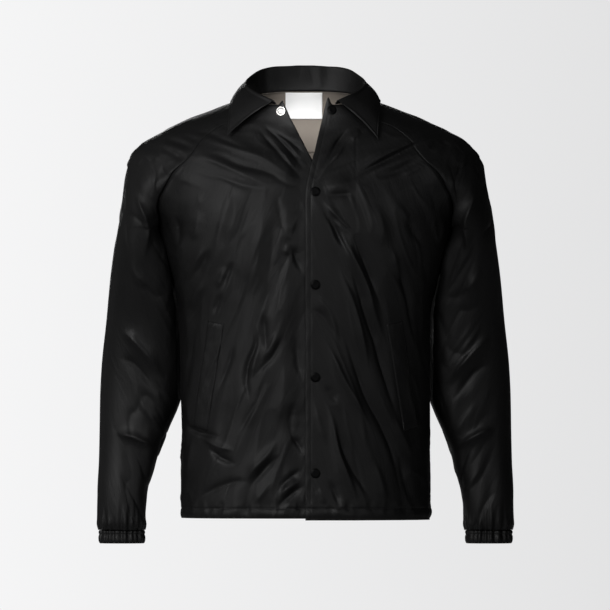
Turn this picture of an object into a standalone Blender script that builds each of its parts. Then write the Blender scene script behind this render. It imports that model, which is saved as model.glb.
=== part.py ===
"""Coach jacket in black nylon, filled out and hollow, open at the neck, the hem and both cuffs.

Frame: +X is the wearer's left, -Y is the front and +Z is up. The origin is the middle of the neck
opening, at the height of the highest shoulder point. Sizes are in millimetres, and a mesh turns
them into metres. Every wall starts as a grid whose points a function places on the jacket's
sections, and Solidify then gives it its thickness.
"""

import math

import bmesh
import bpy
import numpy as np

COLLECTION_NAME = "coach_jacket"
MM = 0.001

# Cloth
WALL = 1.6
CUFF_WALL = 2.2
THIN_WALL = 1.0
LAYER_GAP = 0.45
SEAM_SETBACK = 0.4

# Heights
NECK_Z = 7.0
ARMPIT_Z = -212.0
SHOULDER_CORNER_Z = -92.0
HEM_Z = -706.0
UPPER_LAP_HEM_Z = -709.0
CUFF_TOP_Z = -727.0
CUFF_WIDEST_Z = -738.0
CUFF_BOTTOM_Z = -750.0

# Mesh steps
LOWER_ROWS = 15
UPPER_ROWS = 12
FRONT_COLUMNS = 14
BACK_COLUMNS = 20
SLEEVE_COLUMNS = 24
SLEEVE_ROWS = 12
COLLAR_COLUMNS = 24
TURNED_STEPS = 16
# Rows lie closer to the neck by this power, and closer to the armpit by this share and power
UPPER_ROW_POWER = 1.6
TUBE_CROWD_SHARE = 0.45
TUBE_ROW_POWER = 0.6

# A section is |x / half width| ^ ROUNDNESS + |y / depth| ^ ROUNDNESS = 1, and 2 would be an ellipse
ROUNDNESS = 2.3

BODY = (
    # z, half_width, front_depth, back_depth
    (7, 100, 83, 75),
    (5, 108, 84, 77),
    (-2, 129, 85, 80),
    (-7.5, 145, 86, 83),
    (-16.5, 169, 88, 88),
    (-31.5, 209, 93, 96),
    (-45, 238, 98, 103),
    (-56.5, 261, 103, 108),
    (-74, 283, 110, 116),
    (-92, 298, 118, 122),
    (-120, 286, 129, 128),
    (-148, 275, 138, 132),
    (-185, 262, 146, 134),
    (-212, 252, 149, 134),
    (-250, 243, 150, 133),
    (-300, 226, 149, 130),
    (-369, 213, 146, 126),
    (-450, 212, 142, 125),
    (-550, 212, 138, 127),
    (-709, 212, 135, 130),
)

SLEEVE = (
    # z, outer_x, inner_x, centre_y, front_radius, back_radius
    (-92, 298, 205, 2, 118, 122),
    (-103, 303, 209, 2, 112, 118),
    (-150, 311.5, 237, 4, 96, 104),
    (-212, 320.5, 253, 8, 88, 96),
    (-250, 326.5, 226, 14, 86, 92),
    (-300, 333, 214, 24, 80, 84),
    (-369, 339.5, 208, 36, 70, 72),
    (-450, 348, 205, 44, 60, 62),
    (-503, 350.5, 212, 46, 56, 58),
    (-566, 351.5, 237, 46, 52, 54),
    (-609, 352.5, 253, 44, 49, 50),
    (-664, 355, 268, 40, 46, 47),
    (-704, 354, 273, 38, 42, 42),
    (-727, 351, 275, 37, 33, 33),
)

RAGLAN_SEAMS = (
    # z, front_x, back_x
    (7, 92, 84),
    (-10, 100, 97),
    (-35, 150, 141),
    (-58, 175, 167),
    (-83, 191, 187),
    (-100, 205, 203),
    (-118, 222, 220),
    (-148, 237, 237),
    (-185, 250, 250),
    (-212, 252, 252),
)

FRONT_EDGES = (
    # z, upper_lap_x (left front), under_lap_x (right front)
    (7, 38.5, -39.5),
    (-4, 33.5, -33),
    (-13, 30.5, -28),
    (-27, 26.5, -20),
    (-54, 21, -8.5),
    (-80, 16, 3),
    (-96, 12, 11),
    (-117, 7, 20),
    (-140, 2, 27),
    (-163, 0, 32),
    (-200, 0, 34),
    (-709, 0, 34),
)

# Largest folds, seen from the front: a height of more than 0 is a ridge, of less than 0 a trough
FRONT_FOLDS = (
    # x0, z0, x1, z1, x2, z2, width, height
    (1, -133, -81, -116, -190, -75, 15, -6.5),
    (-69, -143, -128, -131, -196, -102, 14, -5),
    (-30, -130, -110, -121, -215, -80, 13, 4),
    (-104, -75, -140, -60, -213, -39, 14, -4),
    (-82, -30, -45, -73, -9, -119, 13, -4),
    (-252, -68, -227, -80, -200, -92, 13, -4),
    (-276, -97, -251, -110, -223, -126, 14, -5.5),
    (-230, -160, -220, -204, -223, -275, 15, -6.5),
    (-160, -248, -177, -275, -205, -323, 15, -5),
    (-86, -372, -87, -415, -94, -503, 17, -5),
    (-33, -391, -58, -444, -86, -461, 15, 4),
    (-70, -464, -91, -518, -125, -576, 17, -5),
    (-53, -568, -72, -607, -106, -665, 15, 5.5),
    (-174, -568, -145, -597, -120, -612, 15, -4),
    (-300, -192, -271, -231, -259, -262, 15, -5.5),
    (-327, -396, -288, -410, -237, -481, 17, -7),
    (-312, -576, -262, -559, -234, -547, 17, -7),
    (23, -170, 62, -228, 78, -257, 14, -4),
    (88, -219, 108, -314, 152, -520, 18, -5.5),
    (16, -167, 40, -209, 72, -326, 14, 4),
    (18, -133, 42, -97, 71, -60, 13, 4),
    (86, -112, 161, -73, 231, -42, 15, 5.5),
    (91, -126, 144, -104, 195, -80, 14, -5.5),
    (6, -367, 59, -450, 115, -576, 17, 5.5),
    (30, -352, 69, -430, 157, -612, 17, -5.5),
    (20, -476, 40, -534, 88, -675, 15, 5),
    (59, -573, 95, -638, 120, -690, 15, -4),
    (326, -432, 293, -469, 254, -568, 17, -7),
    (307, -197, 290, -219, 273, -241, 15, -5.5),
    (262, -100, 290, -130, 300, -190, 15, -4),
)

BACK_FOLDS = (
    # x0, z0, x1, z1, x2, z2, width, height
    (-120, -60, -165, -105, -215, -190, 18, -5.5),
    (125, -55, 170, -110, 212, -200, 18, -5.5),
    (-60, -120, 0, -136, 70, -118, 20, -4),
    (-205, -250, -150, -330, -110, -430, 20, -5.5),
    (200, -240, 160, -330, 100, -450, 20, -5.5),
    (-40, -380, -60, -470, -50, -580, 20, 5),
    (60, -400, 45, -500, 75, -640, 20, -5),
    (-150, -480, -120, -560, -130, -660, 18, -4),
    (150, -500, 170, -580, 155, -670, 18, 4),
    (-325, -380, -280, -410, -240, -470, 18, -7),
    (325, -390, 285, -420, 240, -480, 18, -7),
    (-330, -560, -290, -570, -255, -590, 17, -5.5),
    (330, -550, 290, -565, 258, -590, 17, -5.5),
    (-290, -150, -270, -210, -275, -270, 17, -5.5),
    (290, -150, 272, -205, 278, -265, 17, -5.5),
)

COLLAR_HALF = (
    # fold_x, fold_y, fold_z, edge_x, edge_y, edge_z, from the front end to the centre back
    (55.5, -84, 4.5, 133, -102, -55),
    (78, -67, 15, 131.5, -88, -30),
    (94, -42, 25, 130, -58, -9),
    (101, -10, 33, 128.5, -20, 2),
    (100, 22, 40, 124, 20, 6),
    (91, 48, 49, 112, 58, 9),
    (74, 69, 59, 87, 86, 12),
    (42, 82, 65, 46, 101, 14),
    (0, 86, 66, 0, 106, 15),
)
COLLAR_END_X = 50.0
COLLAR_FOLD_RADIUS = 3.2
COLLAR_LEAF_BULGE = 3.5
LEFT_TIP_SHIFT = (-9.0, 0.0, -7.0)
COLLAR_END_CLEARANCE = 1.6

WELT = (
    # x, z of a corner of the right front's pocket welt, mirrored for the left
    (-165, -371),
    (-138, -376),
    (-167, -558),
    (-191, -550),
)
WELT_STEPS = (4, 12)
WELT_CLEARANCE = 0.6

SNAP_X = 17.0
SNAP_HEIGHTS = (-151, -309, -466, -629)
NECK_CAP_AT = (45.0, -12.0)
NECK_STUD_AT = (-41.5, -14.0)
FLAT_ROUND_SNAP = 15.0

# The lap is stiffer, so folds have this share of their height there, and all of it this far out
LAP_SHARE = 0.35
LAP_HALF_WIDTH = 20.0
LAP_FADE_WIDTH = 46.0

LABEL_X = (-34.0, 29.0)
LABEL_DROP = (0.5, 45.0)
LABEL_CLEARANCE = 0.3
LINING_ROWS = 9
LINING_DROP = 0.8

CAP_PROFILE = (
    # radius, height above the cloth
    (0, 2.6),
    (6.2, 2.0),
    (7.0, 1.2),
    (8.2, 1.1),
    (8.5, 0),
    (0, 0),
)

STUD_PROFILE = (
    # radius, height above the cloth
    (0, 0.6),
    (2.4, 0.6),
    (3.0, 2.2),
    (4.6, 2.2),
    (5.4, 1.0),
    (7.8, 0.9),
    (8.0, 0),
    (0, 0),
)

FINISHES = {
    # colour (linear), roughness, metallic
    "shell": ((0.012, 0.012, 0.013), 0.42),
    "lining": ((0.42, 0.40, 0.37), 0.7),
    "label": ((0.85, 0.85, 0.84), 0.6),
    "cap": ((0.01, 0.01, 0.01), 0.35),
    "metal": ((0.6, 0.6, 0.6), 0.3, 1.0),
}

# Cuffs: a ring of this middle and these half sizes, drawn in by even gathers
CUFF_MIDDLE = (313.0, 37.0)
CUFF_HALF_SIZES = (38.0, 33.0)
CUFF_ROWS = (
    # z, how far the ring stands out
    (CUFF_BOTTOM_Z, -1.0),
    (CUFF_WIDEST_Z, 0.6),
    (CUFF_TOP_Z - SEAM_SETBACK, -0.6),
)
GATHERS = 16
GATHER_DEPTH = 1.5
GATHER_REACH = 45.0
STEPS_A_GATHER = 3

# How far the right front drops behind the left one, and the sleeves' distance from the sides
LAP_DEPTH = 5.0
LAP_DROP_X = (-34.0, -8.0)
LAP_DROP_Z = (-50.0, -90.0)
SIDE_GAP = 5.0
SIDE_GAP_HEIGHT = 45.0

# How far the corners beside the neck stand up
CORNER_X = (46.0, 38.0)
CORNER_Z = (-26.0, 7.0)
LEFT_CORNER_RISE = 13.0
RIGHT_CORNER_RISE = 8.0

# Neckline: how far it climbs from front to back, straight and curved, over this depth
NECK_DEPTH = 80.0
NECK_CLIMB = 12.5
NECK_CURVE = 2.5
NECK_REACH = 90.0

# Folds fade out towards the sides of the body, and below the neck seam
FOLDS_FADE_Y = (5.0, 50.0)
FOLDS_FADE_Z = (-4.0, -29.0)


def smooth(z, table, column):
    """Value of one column of a table at z, on a monotone cubic curve through the rows."""
    rows = sorted(table, key=lambda row: row[0])
    x = np.array([row[0] for row in rows], float)
    y = np.array([row[column] for row in rows], float)
    step = np.diff(x)
    slope = np.diff(y) / step
    tangent = np.zeros_like(y)
    product = slope[1:] * slope[:-1]
    total = np.where(product > 0, slope[1:] + slope[:-1], 1)
    tangent[1:-1] = np.where(product > 0, 2 * product / total, 0)
    tangent[0], tangent[-1] = slope[0], slope[-1]
    z = np.clip(np.asarray(z, float), x[0], x[-1])
    i = np.clip(np.searchsorted(x, z) - 1, 0, len(x) - 2)
    t = (z - x[i]) / step[i]
    return (
        y[i] * (1 + 2 * t) * (1 - t) ** 2
        + tangent[i] * step[i] * t * (1 - t) ** 2
        + y[i + 1] * t**2 * (3 - 2 * t)
        + tangent[i + 1] * step[i] * t**2 * (t - 1)
    )


def ease(value):
    """0 below 0, 1 above 1 and smooth between."""
    value = np.clip(value, 0, 1)
    return value * value * (3 - 2 * value)


def between(value, start, end):
    """0 before start, 1 past end and smooth between; end may be the lower one."""
    return ease((value - start) / (end - start))


def signed_power(value, power):
    return np.sign(value) * np.abs(value) ** power


def half_width(z):
    return smooth(z, BODY, 1)


def ring(z, angle, width=None):
    """Points of the body's section at height z; angle 0 is the centre front, pi the centre back."""
    width = half_width(z) if width is None else width
    depth = np.where(np.cos(angle) > 0, smooth(z, BODY, 2), smooth(z, BODY, 3))
    x = width * signed_power(np.sin(angle), 2 / ROUNDNESS)
    y = -depth * signed_power(np.cos(angle), 2 / ROUNDNESS)
    return np.stack([x, y, np.full_like(x, z)], axis=-1)


def angle_at(x, width):
    """Angle from the centre front at which a section has this x."""
    share = np.clip(abs(x) / width, 0, 1) ** (ROUNDNESS / 2)
    return float(np.sign(x) * np.arcsin(share))


def even_angles(z, start, end, count):
    """Angles from start to end that part the section into equal lengths."""
    fine = np.linspace(start, end, 241)
    points = ring(z, fine)
    length = np.concatenate([[0], np.cumsum(np.linalg.norm(np.diff(points, axis=0), axis=1))])
    return np.interp(np.linspace(0, length[-1], count + 1), length, fine)


def row_heights(hem_z):
    """Heights of the body's rows: even below the armpit, closer towards the neck."""
    lower = np.linspace(hem_z, ARMPIT_Z, LOWER_ROWS + 1)
    share = np.linspace(0, 1, UPPER_ROWS + 1)[1:]
    upper = ARMPIT_Z + (NECK_Z - ARMPIT_Z) * (1 - (1 - share) ** UPPER_ROW_POWER)
    return np.concatenate([lower, upper])


def fold_height(x, z, table):
    """Sum of the folds of a table: each is a soft ridge or trough along two straight stretches."""
    total = np.zeros_like(x)
    for x0, z0, x1, z1, x2, z2, width, height in table:
        first = math.hypot(x1 - x0, z1 - z0)
        whole = first + math.hypot(x2 - x1, z2 - z1)
        nearest = np.full_like(x, np.inf)
        along = np.zeros_like(x)
        for ax, az, bx, bz, begun in ((x0, z0, x1, z1, 0), (x1, z1, x2, z2, first)):
            length = math.hypot(bx - ax, bz - az)
            share = np.clip(((x - ax) * (bx - ax) + (z - az) * (bz - az)) / length**2, 0, 1)
            away = np.hypot(x - ax - share * (bx - ax), z - az - share * (bz - az))
            closer = away < nearest
            along = np.where(closer, (begun + share * length) / whole, along)
            nearest = np.where(closer, away, nearest)
        fade = ease(along / 0.2) * ease((1 - along) / 0.25)
        total += height * np.exp(-((nearest / width) ** 2)) * (0.15 + 0.85 * fade)
    return total


def lap_calm(x, z):
    """1 away from the front lap and its snaps, less on the lap and 0 at each snap."""
    beside = ease((LAP_FADE_WIDTH - np.abs(x - SNAP_X)) / (LAP_FADE_WIDTH - LAP_HALF_WIDTH))
    calm = 1 - (1 - LAP_SHARE) * beside
    spots = [(SNAP_X, height) for height in SNAP_HEIGHTS] + [NECK_CAP_AT, NECK_STUD_AT]
    for spot_x, spot_z in spots:
        away = np.hypot(x - spot_x, z - spot_z)
        calm *= 1 - np.exp(-((away / FLAT_ROUND_SNAP) ** 2))
    return calm


def finish_form(points):
    """Raises the neckline towards the back, then moves the points out and in along the folds."""
    x, y, z = points[..., 0], points[..., 1], points[..., 2]
    share = y / NECK_DEPTH
    raised = z + ease(1 + z / NECK_REACH) * (NECK_CLIMB * share + NECK_CURVE * share**2)
    front = between(-y, *FOLDS_FADE_Y) * fold_height(x, z, FRONT_FOLDS) * lap_calm(x, z)
    back = between(y, *FOLDS_FADE_Y) * fold_height(x, z, BACK_FOLDS)
    quiet_neck = between(z, *FOLDS_FADE_Z)
    return np.stack([x, y + (back - front) * quiet_neck, raised], axis=-1)


def set_back(points, row_ends=(), column_ends=(), distance=SEAM_SETBACK):
    """Pulls border rows (0 or -1) and border columns towards their neighbours."""
    points = points.copy()
    for end in row_ends:
        other = 1 if end == 0 else -2
        along = points[other] - points[end]
        length = np.linalg.norm(along, axis=-1, keepdims=True)
        points[end] += along / np.maximum(length, 1e-6) * distance
    for end in column_ends:
        other = 1 if end == 0 else -2
        along = points[:, other] - points[:, end]
        length = np.linalg.norm(along, axis=-1, keepdims=True)
        points[:, end] += along / np.maximum(length, 1e-6) * distance
    return points


def front_points(side):
    """Grid of one front, hem to neck by centre edge to seam; side is 1 for the wearer's left."""
    rows = []
    for z in row_heights(UPPER_LAP_HEM_Z if side > 0 else HEM_Z):
        width = half_width(z)
        edge_x = float(smooth(z, FRONT_EDGES, 1 if side > 0 else 2))
        seam = math.pi / 2
        if z > ARMPIT_Z:
            seam = angle_at(float(smooth(z, RAGLAN_SEAMS, 1)), width)
        angles = even_angles(z, angle_at(edge_x, width), side * seam, FRONT_COLUMNS)
        rows.append(ring(z, angles))
    points = np.array(rows)
    x, z = points[..., 0].copy(), points[..., 2].copy()
    points = finish_form(points)
    # The corners by the neck stand up a little, and the right front runs in behind the left
    rise = LEFT_CORNER_RISE if side > 0 else RIGHT_CORNER_RISE
    corner = between(side * x, *CORNER_X) * between(z, *CORNER_Z)
    points[..., 2] += rise * corner
    if side < 0:
        points[..., 1] += LAP_DEPTH * between(x, *LAP_DROP_X) * between(z, *LAP_DROP_Z)
    return set_back(points, row_ends=(-1,), column_ends=(-1,))


def back_points():
    """Grid of the back, hem to neck by right side to left side."""
    rows = []
    for z in row_heights(HEM_Z):
        width = half_width(z)
        seam = math.pi / 2
        if z > ARMPIT_Z:
            seam = math.pi - angle_at(float(smooth(z, RAGLAN_SEAMS, 2)), width)
        angles = even_angles(z, -seam, seam - 2 * math.pi, BACK_COLUMNS)
        rows.append(ring(z, angles))
    return set_back(finish_form(np.array(rows)), row_ends=(-1,), column_ends=(0, -1))


def sleeve_half(z, turn, start, radius_column, facing):
    """Half of a sleeve's section, from its seam (turn 0) to its outer side (turn 1)."""
    outer, inner = float(smooth(z, SLEEVE, 1)), float(smooth(z, SLEEVE, 2))
    centre_y = float(smooth(z, SLEEVE, 3))
    radius = float(smooth(z, SLEEVE, radius_column))
    if z > SHOULDER_CORNER_Z:
        outer = float(half_width(z))
    seam_angle = angle_at(start[0], outer)
    swing = seam_angle + (math.pi / 2 - seam_angle) * turn
    shoulder = ring(z, swing if facing < 0 else math.pi - swing, outer)
    tube = np.stack(
        [
            inner + (outer - inner) * (1 - np.cos(math.pi * turn)) / 2,
            centre_y + facing * radius * np.sin(math.pi * turn),
            np.full_like(turn, z),
        ],
        axis=-1,
    )
    closed = ease((SHOULDER_CORNER_Z - z) / (SHOULDER_CORNER_Z - ARMPIT_Z))
    half = shoulder + (tube - shoulder) * closed
    if z >= ARMPIT_Z:
        half = half + (np.array(start) - half[0]) * ((1 - turn) ** 2)[:, None]
    return half


def clear_of_body(points, z):
    """Keeps a sleeve's inner side just outside the body's side."""
    depth = np.where(points[:, 1] < 0, smooth(z, BODY, 2), smooth(z, BODY, 3))
    inside = np.clip(1 - (np.abs(points[:, 1]) / depth) ** ROUNDNESS, 0, 1)
    side_x = half_width(z) * inside ** (1 / ROUNDNESS)
    gap = SEAM_SETBACK * 2 + SIDE_GAP * ease((ARMPIT_Z - z) / SIDE_GAP_HEIGHT)
    points[:, 0] = np.maximum(points[:, 0], side_x + gap)
    return points


def sleeve_points(side):
    """Grid of a sleeve, cuff to neck by once round from the underarm or the front seam."""
    share = np.linspace(0, 1, SLEEVE_ROWS + 1)[:-1]
    spacing = share * (1 - TUBE_CROWD_SHARE) + share**TUBE_ROW_POWER * TUBE_CROWD_SHARE
    tube = CUFF_TOP_Z + (ARMPIT_Z - CUFF_TOP_Z) * spacing
    cap = [z for z in row_heights(HEM_Z) if z >= ARMPIT_Z - 0.001]
    turn = np.linspace(0, 1, SLEEVE_COLUMNS // 2 + 1)
    rows = []
    for z in np.concatenate([tube, cap]):
        width = float(half_width(z))
        if z >= ARMPIT_Z:
            front_x = float(smooth(z, RAGLAN_SEAMS, 1))
            back_x = float(smooth(z, RAGLAN_SEAMS, 2))
            front = ring(z, np.array([angle_at(front_x, width)]))[0]
            back = ring(z, math.pi - np.array([angle_at(back_x, width)]))[0]
        else:
            front = back = (float(smooth(z, SLEEVE, 2)), 0, z)
        first = sleeve_half(z, turn, front, 4, -1)
        second = sleeve_half(z, turn, back, 5, 1)[::-1]
        row = np.concatenate([first, second[1:]])
        if z <= ARMPIT_Z:
            row = clear_of_body(row, z)
            row[-1] = row[0]
        rows.append(row)
    points = np.array(rows)
    points[..., 0] *= side
    points = gather(finish_form(points), side)
    tube_rows = SLEEVE_ROWS + 1
    points[tube_rows:] = set_back(points[tube_rows:], column_ends=(0, -1))
    return set_back(points, row_ends=(0, -1))


def gather(points, side):
    """Draws the cloth in and out in even gathers, strongest at the cuff seam."""
    away = points[..., :2] - np.array([side * CUFF_MIDDLE[0], CUFF_MIDDLE[1]])
    angle = np.arctan2(away[..., 0] * side, -away[..., 1])
    near = ease((CUFF_TOP_Z + GATHER_REACH - points[..., 2]) / GATHER_REACH)
    reach = np.linalg.norm(away, axis=-1, keepdims=True)
    wave = (GATHER_DEPTH * near * np.cos(GATHERS * angle))[..., None]
    points = points.copy()
    points[..., :2] += away / np.maximum(reach, 1) * wave
    return points


def cuff_points(side):
    """Grid of a cuff, an elastic casing with its gathers, bottom to top by once round."""
    angle = np.linspace(0, 2 * math.pi, GATHERS * STEPS_A_GATHER + 1)
    wave = GATHER_DEPTH * np.cos(GATHERS * angle)
    middle_x, middle_y = CUFF_MIDDLE
    half_x, half_y = CUFF_HALF_SIZES
    rows = []
    for z, grow in CUFF_ROWS:
        x = side * (middle_x + (half_x + grow + wave) * np.sin(angle))
        y = middle_y - (half_y + grow + wave) * np.cos(angle)
        rows.append(np.stack([x, y, np.full_like(x, z)], axis=-1))
    return np.array(rows)


def collar_points():
    """Grid of the collar: neck seam, stand, fold and leaf, from the right end to the left end."""
    half = np.array(COLLAR_HALF, float)
    right = half * np.array([-1, 1, 1, -1, 1, 1])
    left = half[::-1].copy()
    for from_end, amount in enumerate((1, 0.67, 0.33)):
        left[-1 - from_end, 3:] += np.array(LEFT_TIP_SHIFT) * amount
    table = np.concatenate([right, left[1:]])
    table = np.column_stack([np.arange(len(table)), table])
    steps = np.linspace(0, len(table) - 1, COLLAR_COLUMNS + 1)
    curves = np.array([smooth(steps, table, column) for column in range(1, 7)]).T
    end = angle_at(COLLAR_END_X, float(half_width(NECK_Z)))
    angles = np.interp(steps, [0, len(table) - 1], [-end, end - 2 * math.pi])
    neck = finish_form(ring(NECK_Z, angles))
    to_end = np.minimum(steps, len(table) - 1 - steps)
    neck[:, 2] += LAYER_GAP + COLLAR_END_CLEARANCE * ease(1 - to_end)
    rows = []
    for base, values in zip(neck, curves):
        fold, edge = values[:3], values[3:]
        out = np.array([edge[0] - fold[0], edge[1] - fold[1], 0])
        out /= np.linalg.norm(out)
        up = np.array([0, 0, 1.0])
        middle = fold - up * COLLAR_FOLD_RADIUS
        inner = middle - out * COLLAR_FOLD_RADIUS
        outer = middle + out * COLLAR_FOLD_RADIUS
        row = [base, base + (inner - base) * 0.5 - out * 0.8]
        for degrees in (180, 135, 90, 45, 0):
            turn = math.radians(degrees)
            row.append(middle + COLLAR_FOLD_RADIUS * (out * math.cos(turn) + up * math.sin(turn)))
        swell = np.cross(np.cross(out, edge - outer), edge - outer)
        swell /= -max(np.linalg.norm(swell), 1e-6)
        for share in (0.25, 0.5, 0.75, 1.0):
            bulge = COLLAR_LEAF_BULGE * math.sin(math.pi * share)
            row.append(outer + (edge - outer) * share + swell * bulge)
        rows.append(row)
    return np.array(rows)


def grid_normals(points):
    """Unit normals of a grid, across its rows and columns."""
    down, across = np.gradient(points, axis=0), np.gradient(points, axis=1)
    normal = np.cross(across, down)
    return normal / np.maximum(np.linalg.norm(normal, axis=-1, keepdims=True), 1e-9)


def laid_on(points, x, z, lift):
    """Point and normal at x and z over a grid of a panel, lifted off it."""
    heights = points[..., 2].mean(axis=1)
    row = int(np.clip(np.searchsorted(heights, z) - 1, 0, len(points) - 2))
    found = []
    for line in (points[row], points[row + 1]):
        order = np.argsort(line[:, 0])
        found.append([np.interp(x, line[order, 0], line[order, axis]) for axis in (1, 2)])
    share = (z - found[0][1]) / (found[1][1] - found[0][1])
    y = found[0][0] + (found[1][0] - found[0][0]) * share
    normals = grid_normals(points)
    column = int(np.argmin(np.abs(points[row, :, 0] - x)))
    normal = normals[row, column] * (1 - share) + normals[row + 1, column] * share
    normal *= -np.sign(normal[1]) / np.linalg.norm(normal)
    return np.array([x, y, z]) + normal * lift, normal


def add_material(name, colour, roughness, metallic=0.0):
    material = bpy.data.materials.new(name)
    material.use_nodes = True
    shader = material.node_tree.nodes["Principled BSDF"]
    shader.inputs["Base Color"].default_value = (*colour, 1)
    shader.inputs["Roughness"].default_value = roughness
    shader.inputs["Metallic"].default_value = metallic
    return material


def add_object(name, mesh, finish):
    item = bpy.data.objects.new(name, mesh)
    mesh.materials.append(add_material(name, *FINISHES[finish]))
    bpy.data.collections[COLLECTION_NAME].objects.link(item)
    return item


def add_shell(name, points, finish, wall=WALL, turned_over=False):
    """A cloth wall: a grid placed on the points, thickened away from the side that shows."""
    rows, columns = points.shape[:2]
    bm = bmesh.new()
    bmesh.ops.create_grid(bm, x_segments=columns - 1, y_segments=rows - 1, size=1)
    for vertex in bm.verts:
        column = round((vertex.co.x + 1) / 2 * (columns - 1))
        row = round((vertex.co.y + 1) / 2 * (rows - 1))
        vertex.co = points[row, column] * MM
    bmesh.ops.remove_doubles(bm, verts=bm.verts, dist=1e-6)
    if turned_over:
        bmesh.ops.reverse_faces(bm, faces=bm.faces)
    mesh = bpy.data.meshes.new(name)
    bm.to_mesh(mesh)
    bm.free()
    mesh.shade_smooth()
    item = add_object(name, mesh, finish)
    solidify = item.modifiers.new("Wall", "SOLIDIFY")
    solidify.thickness = wall * MM
    solidify.offset = -1
    return item


def add_turned(name, profile, at, facing, finish):
    """A round piece: a profile of (radius, height) turned about the direction that it faces."""
    mesh = bpy.data.meshes.new(name)
    points = [(radius * MM, 0, height * MM) for radius, height in profile]
    mesh.from_pydata(points, [(i, i + 1) for i in range(len(points) - 1)], [])
    item = add_object(name, mesh, finish)
    turn = item.modifiers.new("Turn", "SCREW")
    turn.axis = "Z"
    turn.steps = TURNED_STEPS
    turn.render_steps = TURNED_STEPS
    turn.use_merge_vertices = True
    turn.merge_threshold = 0.00001
    item.location = [value * MM for value in at]
    item.rotation_mode = "AXIS_ANGLE"
    axis = np.cross([0, 0, 1], facing)
    length = np.linalg.norm(axis)
    item.rotation_axis_angle = (math.atan2(length, facing[2]), *(axis / length))
    return item


def add_welt(name, panel, side):
    """The slanted welt of a pocket, laid on its front."""
    across_steps, long_steps = WELT_STEPS
    corners = np.array(WELT, float) * np.array([-side, 1])
    rows = []
    for down in np.linspace(0, 1, long_steps + 1):
        row = []
        for across in np.linspace(0, 1, across_steps + 1):
            top = corners[0] + (corners[1] - corners[0]) * across
            bottom = corners[3] + (corners[2] - corners[3]) * across
            x, z = top + (bottom - top) * down
            row.append(laid_on(panel, x, z, THIN_WALL + LAYER_GAP + WELT_CLEARANCE)[0])
        rows.append(row)
    return add_shell(name, np.array(rows), "shell", THIN_WALL, turned_over=side < 0)


def lining_points(back):
    """The part of the lining that shows: the inside of the back below the neck."""
    rows = slice(-1 - LINING_ROWS, None)
    inward = -grid_normals(back)
    inward *= np.sign((inward * -back * np.array([1, 1, 0])).sum(axis=-1, keepdims=True))
    shown = (back + inward * (WALL + LAYER_GAP + THIN_WALL))[rows, 1:-1]
    return set_back(shown, row_ends=(-1,), distance=LINING_DROP)


def label_points(lining):
    """The bare neck label, laid on the lining just below the neck seam."""
    middle = lining[:, lining.shape[1] // 2]
    rows = []
    for drop in np.linspace(LABEL_DROP[1], LABEL_DROP[0], 5):
        z = middle[-1, 2] - drop
        lift = THIN_WALL + LAYER_GAP + LABEL_CLEARANCE
        rows.append([laid_on(lining, x, z, lift)[0] for x in np.linspace(*LABEL_X, 6)])
    return np.array(rows)


def build():
    for item in list(bpy.data.objects):
        bpy.data.objects.remove(item, do_unlink=True)
    collection = bpy.data.collections.new(COLLECTION_NAME)
    bpy.context.scene.collection.children.link(collection)

    left, right, back = front_points(1), front_points(-1), back_points()
    add_shell("front_left", left, "shell", turned_over=False)
    add_shell("front_right", right, "shell", turned_over=True)
    add_shell("back", back, "shell", turned_over=True)
    add_shell("sleeve_left", sleeve_points(1), "shell", turned_over=False)
    add_shell("sleeve_right", sleeve_points(-1), "shell", turned_over=True)
    add_shell("cuff_left", cuff_points(1), "shell", CUFF_WALL, turned_over=False)
    add_shell("cuff_right", cuff_points(-1), "shell", CUFF_WALL, turned_over=True)
    add_shell("collar", collar_points(), "shell", turned_over=True)
    add_welt("welt_left", left, 1)
    add_welt("welt_right", right, -1)

    lining = lining_points(back)
    add_shell("lining_back", lining, "lining", THIN_WALL)
    add_shell("label", label_points(lining), "label", THIN_WALL)

    for number, height in enumerate(SNAP_HEIGHTS, start=1):
        at, facing = laid_on(left, SNAP_X, height, LAYER_GAP)
        add_turned(f"snap_cap_{number}", CAP_PROFILE, at, facing, "cap")
    at, facing = laid_on(left, *NECK_CAP_AT, 4 * LAYER_GAP)
    add_turned("snap_cap_neck", CAP_PROFILE, at, facing, "cap")
    at, facing = laid_on(right, *NECK_STUD_AT, 2 * LAYER_GAP)
    add_turned("snap_stud_neck", STUD_PROFILE, at, facing, "metal")


build()
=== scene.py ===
# %% [markdown]
# # A coach jacket in black nylon
# The real jacket is thin woven nylon, cut in flat panels and sewn into a hollow shell: two fronts, a back, two
# raglan sleeves that run up to the neck, a collar and two elastic cuffs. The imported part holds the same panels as
# coarse solids. This lesson makes a fine cloth piece for each, on the same form, with the folds, seams, stitches
# and finishes that a solid can't hold.

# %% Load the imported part
import math

import bmesh
import bpy
import numpy as np
from mathutils import Matrix, Vector


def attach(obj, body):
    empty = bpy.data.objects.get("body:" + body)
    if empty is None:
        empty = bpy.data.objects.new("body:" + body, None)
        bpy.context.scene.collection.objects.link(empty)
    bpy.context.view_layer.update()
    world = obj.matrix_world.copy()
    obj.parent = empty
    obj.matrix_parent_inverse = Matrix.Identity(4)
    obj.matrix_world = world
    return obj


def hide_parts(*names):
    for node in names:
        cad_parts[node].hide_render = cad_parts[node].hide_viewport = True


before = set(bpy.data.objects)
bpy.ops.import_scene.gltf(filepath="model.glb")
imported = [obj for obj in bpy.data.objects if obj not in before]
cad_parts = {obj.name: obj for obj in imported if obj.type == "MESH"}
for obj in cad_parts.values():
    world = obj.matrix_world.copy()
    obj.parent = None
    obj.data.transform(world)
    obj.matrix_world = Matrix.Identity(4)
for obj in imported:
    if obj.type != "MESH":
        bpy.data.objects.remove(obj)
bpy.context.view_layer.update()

# %% [markdown]
# ## Camera
# A product picture is taken from far away with a long lens, so that the front doesn't look larger than the sides.
# The camera is level, at the middle of the picture, and its lens follows from the width that the picture spans.

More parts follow.
